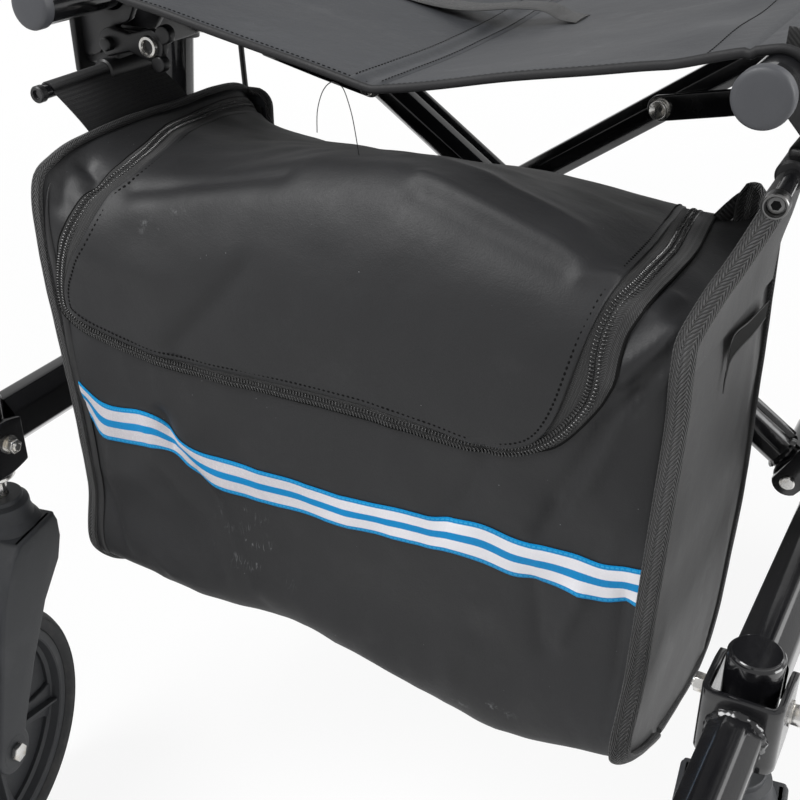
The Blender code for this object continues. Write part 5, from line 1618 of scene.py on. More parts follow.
class BagSkin:
    """The bag's skin as a surface: x runs from side to side, and s round the bag from the rear of its lid.

    Each section is a closed curve through stations: 0 at the lid's rear, 3 on its front ridge, 5 above the ribbon, 8 at
    the bottom of the front, and then underneath and up the back to 17.
    """

    sections = (
        (-0.1955, ((0.034, 0.499), (-0.055, 0.510), (-0.125, 0.511), (-0.160, 0.506), (-0.1775, 0.492),
                   (-0.1797, 0.441), (-0.175, 0.362), (-0.1722, 0.282), (-0.177, 0.230))),
        (-0.1660, ((0.020, 0.480), (-0.060, 0.501), (-0.125, 0.503), (-0.158, 0.494), (-0.1775, 0.468),
                   (-0.180, 0.435), (-0.178, 0.360), (-0.176, 0.280), (-0.178, 0.229))),
        (-0.1190, ((0.020, 0.473), (-0.060, 0.497), (-0.125, 0.501), (-0.157, 0.493), (-0.178, 0.461),
                   (-0.180, 0.432), (-0.178, 0.360), (-0.176, 0.280), (-0.178, 0.2265))),
        (-0.0800, ((0.020, 0.472), (-0.060, 0.500), (-0.120, 0.509), (-0.155, 0.5025), (-0.176, 0.470),
                   (-0.180, 0.435), (-0.178, 0.360), (-0.176, 0.280), (-0.178, 0.2267))),
        (-0.0155, ((0.020, 0.472), (-0.060, 0.506), (-0.115, 0.5205), (-0.150, 0.5195), (-0.172, 0.488),
                   (-0.180, 0.438), (-0.178, 0.360), (-0.176, 0.280), (-0.178, 0.2295))),
        (0.0440, ((0.020, 0.473), (-0.060, 0.508), (-0.115, 0.525), (-0.150, 0.525), (-0.172, 0.492),
                  (-0.180, 0.440), (-0.178, 0.360), (-0.176, 0.280), (-0.178, 0.2155))),
        (0.0880, ((0.020, 0.473), (-0.060, 0.503), (-0.118, 0.518), (-0.152, 0.5185), (-0.174, 0.487),
                  (-0.180, 0.438), (-0.178, 0.360), (-0.176, 0.280), (-0.178, 0.2065))),
        (0.1310, ((0.020, 0.4715), (-0.060, 0.495), (-0.120, 0.506), (-0.155, 0.504), (-0.175, 0.478),
                  (-0.180, 0.436), (-0.178, 0.360), (-0.176, 0.280), (-0.178, 0.208))),
        (0.1690, ((0.018, 0.471), (-0.060, 0.485), (-0.125, 0.492), (-0.158, 0.488), (-0.172, 0.468),
                  (-0.176, 0.435), (-0.176, 0.365), (-0.178, 0.285), (-0.184, 0.2215))),
        (0.1955, ((0.004, 0.490), (-0.0605, 0.478), (-0.120, 0.4834), (-0.155, 0.4815), (-0.1645, 0.464),
                  (-0.1625, 0.430), (-0.172, 0.362), (-0.1825, 0.285), (-0.195, 0.239))),
    )
    under = ((-0.130, 0.192), (-0.060, 0.171), (-0.0145, 0.168), (0.0108, 0.191), (0.0242, 0.241), (0.032, 0.286),
             (0.026, 0.360), (0.0205, 0.424))
    around = 17.0
    fine = 24
    # A fold is its run of places, its width and how far it stands up, which the gain makes a little more.
    fold_gain = 1.35
    folds = (
        (((-0.048, 4.24), (-0.066, 4.71), (-0.081, 5.03), (-0.100, 5.33)), 0.0090, -0.0022),
        (((-0.060, 4.20), (-0.078, 4.71), (-0.095, 5.03), (-0.114, 5.28)), 0.0120, 0.0012),
        (((-0.1375, 2.93), (-0.120, 2.81), (-0.100, 2.71), (-0.080, 2.79), (-0.0535, 2.85), (-0.0375, 2.88)),
         0.0070, -0.0026),
        (((-0.130, 3.20), (-0.100, 3.05), (-0.060, 3.10)), 0.0130, 0.0016),
        (((0.045, 2.80), (0.0815, 2.96), (0.098, 2.98), (0.114, 2.96), (0.1265, 2.94), (0.136, 2.98)), 0.0050, 0.0022),
        (((0.050, 3.15), (0.0815, 3.25), (0.110, 3.25), (0.132, 3.20)), 0.0080, -0.0018),
        (((0.1395, 3.18), (0.1535, 2.74)), 0.0035, 0.0016),
        (((0.020, 1.90), (0.080, 2.10), (0.125, 2.25)), 0.0080, 0.0016),
        (((-0.1795, 2.66), (-0.170, 2.86), (-0.168, 3.03)), 0.0070, -0.0040),
        (((-0.186, 3.30), (-0.180, 3.70)), 0.0080, -0.0030),
        (((0.165, 3.25), (0.1755, 2.96), (0.1815, 2.34)), 0.0050, 0.0022),
        (((0.1915, 3.05), (0.1875, 3.21), (0.1805, 3.71), (0.172, 4.09), (0.168, 4.42)), 0.0055, 0.0040),
        (((0.190, 3.70), (0.184, 4.10), (0.178, 4.45)), 0.0070, -0.0030),
        (((0.187, 4.30), (0.1775, 4.78), (0.169, 5.12), (0.163, 5.40), (0.156, 5.62), (0.1485, 5.76)), 0.0048, 0.0030),
        (((0.1755, 4.60), (0.166, 4.96), (0.159, 5.35), (0.1415, 5.86), (0.1335, 6.07)), 0.0058, -0.0028),
        (((0.156, 5.10), (0.1625, 4.91), (0.169, 4.75)), 0.0040, 0.0016),
        (((0.1015, 5.53), (0.0965, 5.75), (0.0895, 5.99), (0.0785, 6.15)), 0.0075, -0.0020),
        (((0.132, 6.50), (0.140, 7.05)), 0.0070, -0.0022),
        (((0.159, 6.50), (0.1485, 6.92)), 0.0065, 0.0020),
        (((0.184, 6.45), (0.185, 7.05), (0.187, 7.60)), 0.0065, -0.0026),
        (((-0.0815, 6.88), (-0.066, 7.50), (-0.058, 7.90)), 0.0090, -0.0018),
        (((-0.092, 6.90), (-0.078, 7.50)), 0.0100, 0.0014),
        (((-0.1375, 7.67), (-0.1265, 7.87)), 0.0050, 0.0012),
        (((-0.121, 6.05), (-0.1155, 6.32), (-0.0875, 6.70)), 0.0055, -0.0030),
        (((-0.134, 6.20), (-0.128, 6.45), (-0.110, 6.75)), 0.0080, 0.0020),
        (((-0.168, 7.80), (-0.186, 6.90), (-0.187, 6.20)), 0.0070, -0.0022),
    )

    def __init__(self) -> None:
        """Draws every section once, finely."""
        self.across = np.array([section[0] for section in self.sections])
        self.table = np.array([self.ring(points + self.under) for _, points in self.sections])
        self.creases = [(self.spot(*np.array(route).T), width, height) for route, width, height in self.folds]

    def ring(self, points: tuple[Pair, ...]) -> np.ndarray:
        """A closed smooth curve through a section's stations."""
        spots = np.array(points)
        spans = np.arange(len(spots) * self.fine) / self.fine
        index = spans.astype(int)
        share = (spans - index)[:, None]
        p0, p1, p2, p3 = (spots[(index + step) % len(spots)] for step in (-1, 0, 1, 2))
        bend = (2 * p0 - 5 * p1 + 4 * p2 - p3) * share**2
        return 0.5 * (2 * p1 + (p2 - p0) * share + bend + (3 * p1 - 3 * p2 + p3 - p0) * share**3)

    def spot(self, x: np.ndarray, s: np.ndarray) -> np.ndarray:
        """The smooth surface's points, without its folds."""
        x, s = np.broadcast_arrays(np.asarray(x, float), np.asarray(s, float))
        place = np.mod(s, self.around) * self.fine
        low = place.astype(int) % self.table.shape[1]
        share = (place - np.floor(place))[..., None]
        last = len(self.across) - 1
        here = np.clip(np.searchsorted(self.across, x, side="right") - 1, 0, last - 1)
        before, after = np.clip(here - 1, 0, None), np.clip(here + 2, None, last)
        high = (low + 1) % self.table.shape[1]
        values = [self.table[i, low] * (1 - share) + self.table[i, high] * share
                  for i in (before, here, here + 1, after)]
        span = (self.across[here + 1] - self.across[here])[..., None]
        t = (x - self.across[here])[..., None] / span
        into = (values[2] - values[0]) / (self.across[here + 1] - self.across[before])[..., None] * span
        out = (values[3] - values[1]) / (self.across[after] - self.across[here])[..., None] * span
        flat = (2 * t**3 - 3 * t**2 + 1) * values[1] + (t**3 - 2 * t**2 + t) * into
        flat = flat + (3 * t**2 - 2 * t**3) * values[2] + (t**3 - t**2) * out
        return np.concatenate([x[..., None], flat], axis=-1)

    def outward(self, x: np.ndarray, s: np.ndarray) -> np.ndarray:
        """The smooth surface's outward directions."""
        inside = BAG_HALF - 0.001
        reach = np.clip(np.asarray(x, float), -inside, inside)
        wide = self.spot(reach + 0.001, s) - self.spot(reach - 0.001, s)
        deep = self.spot(reach, np.asarray(s) + 0.04) - self.spot(reach, np.asarray(s) - 0.04)
        away = np.cross(deep, wide)
        return away / np.maximum(np.linalg.norm(away, axis=-1, keepdims=True), 1e-12)

    def skin(self, x: np.ndarray, s: np.ndarray, lift: np.ndarray | float = 0.0) -> np.ndarray:
        """Points on the creased skin.

        Args:
            x: Where they are from side to side.
            s: Where they are round the bag.
            lift: How far above the skin they are.

        Returns:
            The points.
        """
        base = self.spot(x, s)
        relief = np.zeros(base.shape[:-1])
        for route, width, height in self.creases:
            relief += self.fold_gain * height * np.exp(-((self.distance(base, route) / width) ** 1.5))
        front = np.clip((np.broadcast_to(np.asarray(s, float), relief.shape) - 5.0) / 0.6, 0.25, 1.0)
        spots = [Vector(p) for p in base.reshape(-1, 3)]
        soft = np.array([0.0018 * noise.noise(p * 15.0) + 0.0008 * noise.noise(p * 41.0) for p in spots])
        shift = Vector((3.1, 0, 7.7))
        crisp = np.array([
            -0.0042 * abs(noise.noise(p * 13.0 + shift)) - 0.0016 * abs(noise.noise(p * 31.0)) for p in spots
        ])
        edge = np.clip((BAG_HALF - np.abs(base[..., 0])) / 0.012, 0.0, 1.0)
        relief = (relief + soft.reshape(relief.shape) + (crisp.reshape(relief.shape) + 0.0010) * front) * edge
        return base + self.outward(x, s) * (relief + lift)[..., None]

    @staticmethod
    def distance(points: np.ndarray, route: np.ndarray) -> np.ndarray:
        """How far points are from a route of straight spans, a little more past its ends."""
        best = np.full(points.shape[:-1], 1.0)
        for start, end in zip(route, route[1:]):
            run = end - start
            share = np.clip(((points - start) @ run) / (run @ run), 0.0, 1.0)
            best = np.minimum(best, np.linalg.norm(points - start - share[..., None] * run, axis=-1))
        return best

    def route(self, keys: Sequence[Pair], pitch: float) -> np.ndarray:
        """A smooth run over the skin through given places, as evenly spaced places."""
        smooth = np.array([tuple(p)[:2] for p in smooth_route([Vector((x, s, 0)) for x, s in keys], 12)])
        spots = self.spot(smooth[:, 0], smooth[:, 1])
        along = np.concatenate([[0.0], np.cumsum(np.linalg.norm(np.diff(spots, axis=0), axis=1))])
        wanted = np.linspace(0.0, along[-1], max(2, int(along[-1] / pitch) + 1))
        return np.stack([np.interp(wanted, along, smooth[:, axis]) for axis in (0, 1)], axis=1)

    def beside(self, main: np.ndarray, keys: Sequence[Pair]) -> np.ndarray:
        """For each place on one run, the nearest on another, eased so that they advance together."""
        other = self.route(keys, 0.0007)
        spots, mains = self.spot(*other.T), self.spot(*main.T)
        nearest = np.array([np.argmin(np.linalg.norm(spots - spot, axis=1)) for spot in mains], float)
        nearest = np.maximum.accumulate(nearest)
        padded = np.pad(nearest, 6, mode="edge")
        eased = np.convolve(padded, np.ones(13) / 13, mode="valid")
        index = np.arange(len(other))
        return np.stack([np.interp(eased, index, other[:, axis]) for axis in (0, 1)], axis=1)


@dataclass
class Bag:
    """The bag under the seat, from its shell to its tabs."""

    skin: BagSkin = field(default_factory=BagSkin)
    half: float = BAG_HALF
    body: str = "side_frame_left"
    pieces: list[bpy.types.Object] = field(default_factory=list)
    edge = (
        (-0.176, 0.04), (-0.1745, 0.45), (-0.1705, 0.91), (-0.1615, 1.28), (-0.1515, 1.76), (-0.146, 2.32),
        (-0.1485, 2.79), (-0.1530, 3.08), (-0.1555, 3.35), (-0.1590, 3.68), (-0.1645, 4.12), (-0.1745, 4.74),
        (-0.1805, 5.00), (-0.1830, 5.16), (-0.1825, 5.28), (-0.1780, 5.33), (-0.1665, 5.38), (-0.1485, 5.41),
        (-0.1105, 5.45), (-0.0680, 5.45), (-0.0145, 5.43), (0.0200, 5.43), (0.0510, 5.45), (0.0755, 5.47),
        (0.0990, 5.48), (0.1120, 5.45), (0.1205, 5.41), (0.1280, 5.35), (0.1345, 5.24), (0.1400, 5.06),
        (0.1440, 4.81), (0.1475, 4.42), (0.1505, 3.94), (0.1540, 3.39), (0.1575, 2.56), (0.1565, 1.61),
        (0.1500, 0.84), (0.1440, 0.40), (0.140, 0.04),
    )
    coil_line = (
        (-0.183, 0.04), (-0.180, 0.50), (-0.1765, 1.02), (-0.1720, 1.27), (-0.1670, 1.52), (-0.1600, 1.90),
        (-0.1560, 2.34), (-0.1580, 2.75), (-0.1615, 3.00), (-0.1655, 3.26), (-0.1685, 3.62), (-0.1725, 4.04),
        (-0.1770, 4.49), (-0.1820, 4.83), (-0.1855, 5.05), (-0.1875, 5.22), (-0.1865, 5.33), (-0.1790, 5.39),
        (-0.1670, 5.43), (-0.1490, 5.46), (-0.1115, 5.50), (-0.0685, 5.52), (-0.0150, 5.50), (0.0195, 5.50),
        (0.0510, 5.51), (0.0755, 5.515), (0.0990, 5.50), (0.1160, 5.455), (0.1290, 5.375), (0.1380, 5.28),
        (0.1455, 5.15), (0.1525, 4.96), (0.1560, 4.74), (0.1570, 4.44), (0.1565, 4.12), (0.1570, 3.77),
        (0.1585, 3.47), (0.1610, 3.06), (0.1640, 2.55), (0.1645, 1.90), (0.1630, 1.41), (0.1570, 0.86),
        (0.1510, 0.40), (0.147, 0.04),
    )
    outer = (
        (-0.188, 0.04), (-0.185, 0.50), (-0.1800, 1.12), (-0.1745, 1.38), (-0.1685, 1.74), (-0.1630, 2.27),
        (-0.1640, 2.62), (-0.1670, 2.98), (-0.1705, 3.33), (-0.1735, 3.71), (-0.1765, 4.09), (-0.1808, 4.48),
        (-0.1845, 4.83), (-0.1880, 5.07), (-0.1900, 5.25), (-0.1890, 5.37), (-0.1805, 5.43), (-0.1680, 5.465),
        (-0.1495, 5.49), (-0.1120, 5.54), (-0.0690, 5.555), (-0.0150, 5.54), (0.0195, 5.54), (0.0510, 5.55),
        (0.0755, 5.55), (0.0990, 5.53), (0.1160, 5.475), (0.1310, 5.40), (0.1410, 5.33), (0.1505, 5.18),
        (0.1590, 4.96), (0.1635, 4.76), (0.1670, 4.43), (0.1675, 3.97), (0.1685, 3.60), (0.1720, 3.08),
        (0.1740, 2.48), (0.1745, 1.72), (0.1715, 1.07), (0.1635, 0.38), (0.160, 0.04),
    )
    ribbon_upper = (
        (-0.1905, 5.93), (-0.1840, 5.99), (-0.1710, 6.07), (-0.1540, 6.07), (-0.1370, 6.04), (-0.1260, 6.07),
        (-0.1145, 6.20), (-0.1035, 6.26), (-0.0930, 6.28), (-0.0775, 6.27), (-0.0550, 6.25), (-0.0255, 6.24),
        (0.0025, 6.25), (0.0295, 6.23), (0.0560, 6.19), (0.0685, 6.19), (0.0810, 6.16), (0.0995, 6.12), (0.1175, 6.15),
        (0.1350, 6.16), (0.1520, 6.19), (0.1685, 6.23), (0.1815, 6.19), (0.1905, 6.16), (0.1942, 6.15),
    )
    ribbon_lower = (
        (-0.1910, 6.20), (-0.1870, 6.30), (-0.1775, 6.42), (-0.1590, 6.41), (-0.1420, 6.37), (-0.1290, 6.34),
        (-0.1170, 6.37), (-0.1065, 6.48), (-0.0960, 6.54), (-0.0805, 6.57), (-0.0575, 6.55), (-0.0275, 6.52),
        (0.0010, 6.51), (0.0285, 6.49), (0.0555, 6.46), (0.0685, 6.46), (0.0810, 6.44), (0.1000, 6.45), (0.1180, 6.48),
        (0.1360, 6.46), (0.1535, 6.50), (0.1705, 6.52), (0.1840, 6.46), (0.1920, 6.44), (0.1942, 6.43),
    )

    def keep(self, made: bpy.types.Object) -> bpy.types.Object:
        """Gives a piece of the bag its own mesh and lists it among the bag's pieces."""
        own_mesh(made)
        self.pieces.append(made)
        return made

    def dress(self, form: Form, name: str, finish: Finish) -> bpy.types.Object:
        """Finishes a piece of the bag."""
        return self.keep(form.piece(name, finish, Slot.BAG, self.body, angle=60.0))

    def build(self) -> None:
        """Builds the shell and everything sewn on it."""
        shell = self.shell()
        lid = self.lid()
        self.zip()
        self.ribbon()
        self.bindings()
        self.pocket()
        self.hangers()
        self.tabs()
        LOG.info("the bag has %d pieces", len(self.pieces))

    def shell(self) -> bpy.types.Object:
        """The shell, a sagging loft whose two side panels close it; their cloth is painted lighter, standing in for the
        light on the sides.
        """
        form = Form()

        def rule(u: np.ndarray, w: np.ndarray) -> np.ndarray:
            """Lays the grid's places on the skin."""
            return self.skin.skin((u * 2 - 1) * self.half, w * self.skin.around)

        form.sheet(132, 318, rule)
        bmesh.ops.remove_doubles(form.bm, verts=form.bm.verts, dist=1e-6)
        for sign in (-1, 1):
            edges = [e for e in form.bm.edges if e.is_boundary and e.verts[0].co.x * sign > 0]
            middle = Vector((sign * self.half, -0.072, 0.335))
            for step in range(16):
                ring, edges = form.grow(edges)
                shrink = 1.0 - 1.0 / (16.5 - step)
                bmesh.ops.scale(form.bm, vec=(1, shrink, shrink), space=Matrix.Translation(-middle), verts=ring)
                for vert in ring:
                    vert.co.x = sign * (self.half + self.side_swell(vert.co, step))
                for face in {face for edge in edges for face in edge.link_faces}:
                    face.material_index = 1
            bmesh.ops.contextual_create(form.bm, geom=edges)
        made = form.piece("bag_shell", BAG_CLOTH, Slot.BAG, self.body, ["storage_bag"], 70)
        # The side panels wear the cloth that is painted lighter, as painted light.
        made.data.materials.append(SHELF.get(SIDE_CLOTH_PAINTED_LIGHT))
        return self.keep(made)

    @staticmethod
    def side_swell(place: Vector, step: int) -> float:
        """How far the side panel stands out at a place: a soft belly with one long crease and a few dents."""
        belly = 0.0035 * min(1.0, step / 5.0)
        crease = 0.0022 * math.exp(-(((place.y + 0.0205 + 0.02 * (place.z - 0.30)) / 0.005) ** 2))
        crease *= min(1.0, max(0.0, (0.43 - place.z) / 0.06))
        dent = 0.0016 * noise.noise(place * 22.0)
        return belly + crease + dent

    def lid(self) -> bpy.types.Object:
        """The lid: a second layer of cloth that lies over the zip's inner tape, with its stitched edge."""
        run = self.skin.route(self.edge, 0.0008)
        spots = self.skin.spot(*run.T)
        left = int(np.argmin(np.linalg.norm(spots - self.skin.spot(-0.1830, 5.20), axis=1)))
        right = int(np.argmin(np.linalg.norm(spots - self.skin.spot(0.1385, 5.12), axis=1)))
        columns, rows = 124, 112
        ease = [(0.0, -0.0002), (0.0, 0.0015), (0.0022, 0.0023)]

        def stops(count: int, both: bool) -> tuple[np.ndarray, np.ndarray]:
            """The shares and heights of the grid's lines, eased at the free edges."""
            middle = np.linspace(0.009, 0.991 if both else 1.0, count + 1 - len(ease) * (2 if both else 1))
            low = np.array(ease)
            shares = np.concatenate([low[:, 0], middle] + ([1 - low[::-1, 0]] if both else []))
            lifts = np.concatenate([low[:, 1], np.full(len(middle), 0.0025)] + ([low[::-1, 1]] if both else []))
            return shares, lifts

        across, across_lift = stops(columns, True)
        down, down_lift = stops(rows, False)

        def pick(part: np.ndarray, share: np.ndarray) -> np.ndarray:
            """Places at shares of a run."""
            index = np.linspace(0, 1, len(part))
            return np.stack([np.interp(share, index, part[:, axis]) for axis in (0, 1)], axis=1)

        def rule(u: np.ndarray, w: np.ndarray) -> np.ndarray:
            """Blends the four edges and lays the result over the skin."""
            i, j = np.rint(u * columns).astype(int), np.rint(w * rows).astype(int)
            a, b = across[i], 1 - down[j]
            lifts = np.minimum(across_lift[i], down_lift[j])
            sides = pick(run[: left + 1], b) * (1 - a)[:, None] + pick(run[: right - 1 : -1], b) * a[:, None]
            back = np.stack([np.interp(a, [0, 1], [run[0, 0], run[-1, 0]]), np.full(len(a), run[0, 1])], axis=1)
            ends = back * (1 - b)[:, None] + pick(run[left : right + 1], a) * b[:, None]
            corners = (run[0] * ((1 - a) * (1 - b))[:, None] + run[-1] * (a * (1 - b))[:, None]
                       + run[left] * ((1 - a) * b)[:, None] + run[right] * (a * b)[:, None])
            place = sides + ends - corners
            return self.skin.skin(place[:, 0], place[:, 1], lifts)

        form = Form().sheet(columns, rows, rule)
        lid = self.dress(form, "bag_lid", BAG_CLOTH)
        self.stitches(run)
        return lid

    def stitches(self, run: np.ndarray) -> None:
        """The row of sunk stitches beside the lid's edge."""
        pitch, inset, lift = 0.0031, 0.0036, 0.0025
        size = Matrix.Diagonal((pitch * 0.36, 0.00075, 0.00030, 1))
        stations = self.skin.route([tuple(p) for p in run[:: max(1, len(run) // 160)]], pitch)
        spots = self.skin.skin(stations[:, 0], stations[:, 1], lift)
        away = self.skin.outward(stations[:, 0], stations[:, 1])
        places = []
        for index in range(1, len(spots) - 1):
            along = Vector(spots[index + 1] - spots[index - 1]).normalized()
            rise = Vector(away[index])
            aside = rise.cross(along).normalized()
            turn = Matrix((along, aside, rise)).transposed().to_4x4()
            places.append(Matrix.Translation(Vector(spots[index]) + aside * inset) @ turn @ size)
        self.dress(Form().beads(places, 6, 4), "lid_stitches", SEWING)

    def zip(self) -> None:
        """The zip: an inner and an outer tape, the two rows of coil between them, and a near-black cord at its edge
        that paints the shadow line along it.
        """
        run = self.skin.route(self.coil_line, 0.0022)
        inner, outer = self.skin.beside(run, self.edge), self.skin.beside(run, self.outer)
        self.band("zip_tape_inner", inner + (inner - run) * 0.1, run, 0.0005, TAPE)
        self.band("zip_tape_outer", run, outer, 0.0006, TAPE)
        teeth, size = [], Matrix.Diagonal((0.00170, 0.00066, 0.00085, 1))
        stations = self.skin.route(self.coil_line, 0.00100)
        spots = self.skin.skin(stations[:, 0], stations[:, 1], 0.0014)
        away = self.skin.outward(stations[:, 0], stations[:, 1])
        for index in range(2, len(spots) - 2):
            along = Vector(spots[index + 2] - spots[index - 2]).normalized()
            rise = Vector(away[index])
            aside = rise.cross(along).normalized() * (1 if index % 2 else -1)
            lean = (aside + along * 0.25).normalized()
            turn = Matrix((lean, rise.cross(lean).normalized(), rise)).transposed().to_4x4()
            teeth.append(Matrix.Translation(Vector(spots[index]) + aside * 0.00190) @ turn @ size)
        self.dress(Form().beads(teeth, 7, 5), "zip_coil", THREAD)
        # A near-black cord along the outer tape's edge paints the shadow line there.
        rim = self.skin.route(self.outer, 0.003)
        cord = [Vector(p) for p in self.skin.skin(rim[:, 0], rim[:, 1], 0.0007)]
        self.dress(Form().swept(cord, circle(0.00090, 8)), "zip_edge_shadow_cord", SEWING)

    def band(
        self, name: str, first: np.ndarray, second: np.ndarray, lift: float, finish: Finish, thick: float = 0.0008
    ) -> bpy.types.Object:
        """A thin closed strip over the skin between two runs.

        Args:
            name: The strip's name.
            first: One edge's places.
            second: The other's.
            lift: How far the strip's underside is above the skin.
            finish: Its finish.
            thick: How thick it is.

        Returns:
            The strip.
        """
        outline = [(0.0, 0.0), (0.0, 0.7), (0.06, 1.0), (0.28, 1.0), (0.5, 1.0), (0.72, 1.0), (0.94, 1.0), (1.0, 0.7)]
        outline += [(1.0, 0.0), (0.5, 0.0), (0.0, 0.0)]
        shares, rises = np.array(outline).T
        rows = len(first) - 1
        spots = self.skin.spot(*((first + second) / 2).T)
        along = np.concatenate([[0.0], np.cumsum(np.linalg.norm(np.diff(spots, axis=0), axis=1))])
        wide = float(np.median(np.linalg.norm(self.skin.spot(*first.T) - self.skin.spot(*second.T), axis=1)))

        def rule(u: np.ndarray, w: np.ndarray) -> np.ndarray:
            """Lays the strip over the skin."""
            i, j = np.rint(u * (len(outline) - 1)).astype(int), np.rint(w * rows).astype(int)
            place = first[j] * (1 - shares[i])[:, None] + second[j] * shares[i][:, None]
            return self.skin.skin(place[:, 0], place[:, 1], lift + rises[i] * thick)

        def flat(u: np.ndarray, w: np.ndarray) -> np.ndarray:
            """The strip's map in metres."""
            i, j = np.rint(u * (len(outline) - 1)).astype(int), np.rint(w * rows).astype(int)
            return np.stack([along[j], shares[i] * (1.0 if finish is RIBBON else wide)], axis=1)

        form = Form().sheet(len(outline) - 1, rows, rule, flat)
        bmesh.ops.remove_doubles(form.bm, verts=form.bm.verts, dist=1e-6)
        bmesh.ops.holes_fill(form.bm, edges=[e for e in form.bm.edges if e.is_boundary], sides=0)
        return self.dress(form, name, finish)

    def ribbon(self) -> None:
        """The striped ribbon across the front, with its lower edge tucked under at the pinch."""
        upper = self.skin.route(self.ribbon_upper, 0.0022)
        self.band("striped_ribbon", upper, self.skin.beside(upper, self.ribbon_lower), 0.0004, RIBBON, 0.0006)

    def seam(self, sign: float, start: float, end: float, pitch: float = 0.0035) -> list[Vector]:
        """Points along a side seam between two stations."""
        stations = self.skin.route([(sign * self.half, s) for s in np.arange(start, end + 0.01, 0.25)], pitch)
        return [Vector(p) for p in self.skin.spot(stations[:, 0], stations[:, 1])]

    def wrapped(self, name: str, path: list[Vector], turn: float, size: Pair, sign: float, finish: Finish) -> None:
        """A bound edge: an oval drawn along a seam.

        Args:
            name: The piece's name.
            path: The seam.
            turn: How far its flat face is turned from the front to the side, in degrees.
            size: Its half width and half thickness.
            sign: The side that it is on.
            finish: Its finish.

        Returns:
            Nothing.
        """
        count = 18
        points = np.array([tuple(p) for p in path])
        tangent = np.gradient(points, axis=0)
        tangent /= np.linalg.norm(tangent, axis=1, keepdims=True)
        side = np.array([sign, 0.0, 0.0])
        away = np.cross(tangent, np.array([1.0, 0.0, 0.0]))
        away /= np.linalg.norm(away, axis=1, keepdims=True)
        middle = np.array([0.0, -0.07, 0.34])
        away *= np.sign(np.sum(away * (points - middle), axis=1).mean())
        c, s = math.cos(math.radians(turn)), math.sin(math.radians(turn))
        wide, high = side * c - away * s, away * c + side * s
        along = np.concatenate([[0.0], np.cumsum(np.linalg.norm(np.diff(points, axis=0), axis=1))])

        def rule(u: np.ndarray, w: np.ndarray) -> np.ndarray:
            """Lays the oval round the seam, with a little life in its thickness."""
            j, a = np.rint(w * (len(path) - 1)).astype(int), u * 2 * math.pi
            swell = 1 + 0.06 * np.sin(along[j] * 95.0 + sign) + 0.04 * np.sin(along[j] * 230.0)
            flatten = np.sign(np.cos(a)) * np.abs(np.cos(a)) ** 0.8
            return points[j] + wide[j] * (size[0] * flatten)[:, None] + high[j] * (size[1] * np.sin(a) * swell)[:, None]

        def flat(u: np.ndarray, w: np.ndarray) -> np.ndarray:
            """The tape's map in metres."""
            j = np.rint(w * (len(path) - 1)).astype(int)
            return np.stack([along[j], u * 2 * math.pi * size[0] * 0.8], axis=1)

        form = Form().sheet(count, len(path) - 1, rule, flat)
        bmesh.ops.remove_doubles(form.bm, verts=form.bm.verts, dist=1e-7)
        bmesh.ops.holes_fill(form.bm, edges=[e for e in form.bm.edges if e.is_boundary], sides=0)
        self.dress(form, name, finish)

    def bindings(self) -> None:
        """The bound seams of both side panels, and the smooth turned edge beside the left one."""
        self.wrapped("binding_left", self.seam(-1, -0.3, 9.2), 12.0, (0.0044, 0.0026), -1, BINDING)
        rise = [Vector(p) for p in ((0.2162, -0.1200, 0.5310), (0.2120, -0.1275, 0.5200), (0.2065, -0.1360, 0.5070))]
        rise += [Vector((0.2010, -0.1460, 0.4950))]
        front = rise + self.seam(1, 3.3, 9.2, 0.012)
        self.wrapped("binding_right", even_route(smooth_route(front, 6), 0.0035), 40.0, (0.0064, 0.0024), 1, BINDING)
        self.wrapped("binding_left_rear", self.seam(-1, 9.2, 16.7), 45.0, (0.0036, 0.0020), -1, BINDING)
        self.wrapped("binding_right_rear", self.seam(1, 9.2, 16.8), 45.0, (0.0036, 0.0020), 1, BINDING)
        places = self.skin.route([(-0.1893, s) for s in np.arange(3.6, 8.2, 0.25)], 0.003)
        route = [Vector(p) for p in self.skin.skin(places[:, 0], places[:, 1], 0.0002)]
        sizes = [min(1.0, 0.15 + 0.06 * index) for index in range(len(route))]
        form = Form().swept(route, oval(0.0030, 0.0013, 12), up=(0, -1, 0.2), scales=sizes)
        self.dress(form, "turned_edge_left", BLACK_PLASTIC)

    def pocket(self) -> None:
        """The side panel's slanted pocket mouth: a near-black sheet that paints the shade inside the opening, and the
        lip below it.
        """
        x = self.half + 0.0064
        mouth = [(-0.0951, 0.4513), (-0.0571, 0.4450), (-0.0102, 0.4375), (-0.0133, 0.4285), (-0.0449, 0.4311)]
        mouth += [(-0.0705, 0.4352), (-0.0917, 0.4371), (-0.0982, 0.4296)]
        # A thin near-black sheet over the mouth paints the shade inside the pocket.
        form = Form().slab([(y - FRONT_ENDS_Y, z) for y, z in mouth], x - 0.0006, x).moved(side_view())
        self.dress(form, "pocket_mouth_shade_sheet", SEWING)
        lip = ((-0.0985, 0.4200), (-0.0982, 0.4296), (-0.0917, 0.4369), (-0.0705, 0.4350), (-0.0449, 0.4309),
               (-0.0125, 0.4283))
        hem = ((-0.0990, 0.4310), (-0.0953, 0.4514), (-0.0571, 0.4451), (-0.0095, 0.4376))
        # The pocket's lip and hem wear the side cloth that is painted lighter, as painted light.
        for name, line, size in (("pocket_lip", lip, 0.0008), ("pocket_hem", hem, 0.0004)):
            route = smooth_route([Vector((x, y, z)) for y, z in line], 8)
            sizes = [0.35 + 0.65 * math.sin(math.pi * i / (len(route) - 1)) for i in range(len(route))]
            self.dress(Form().swept(route, circle(size, 12), up=(1, 0, 0), scales=sizes), name, SIDE_CLOTH_PAINTED_LIGHT)

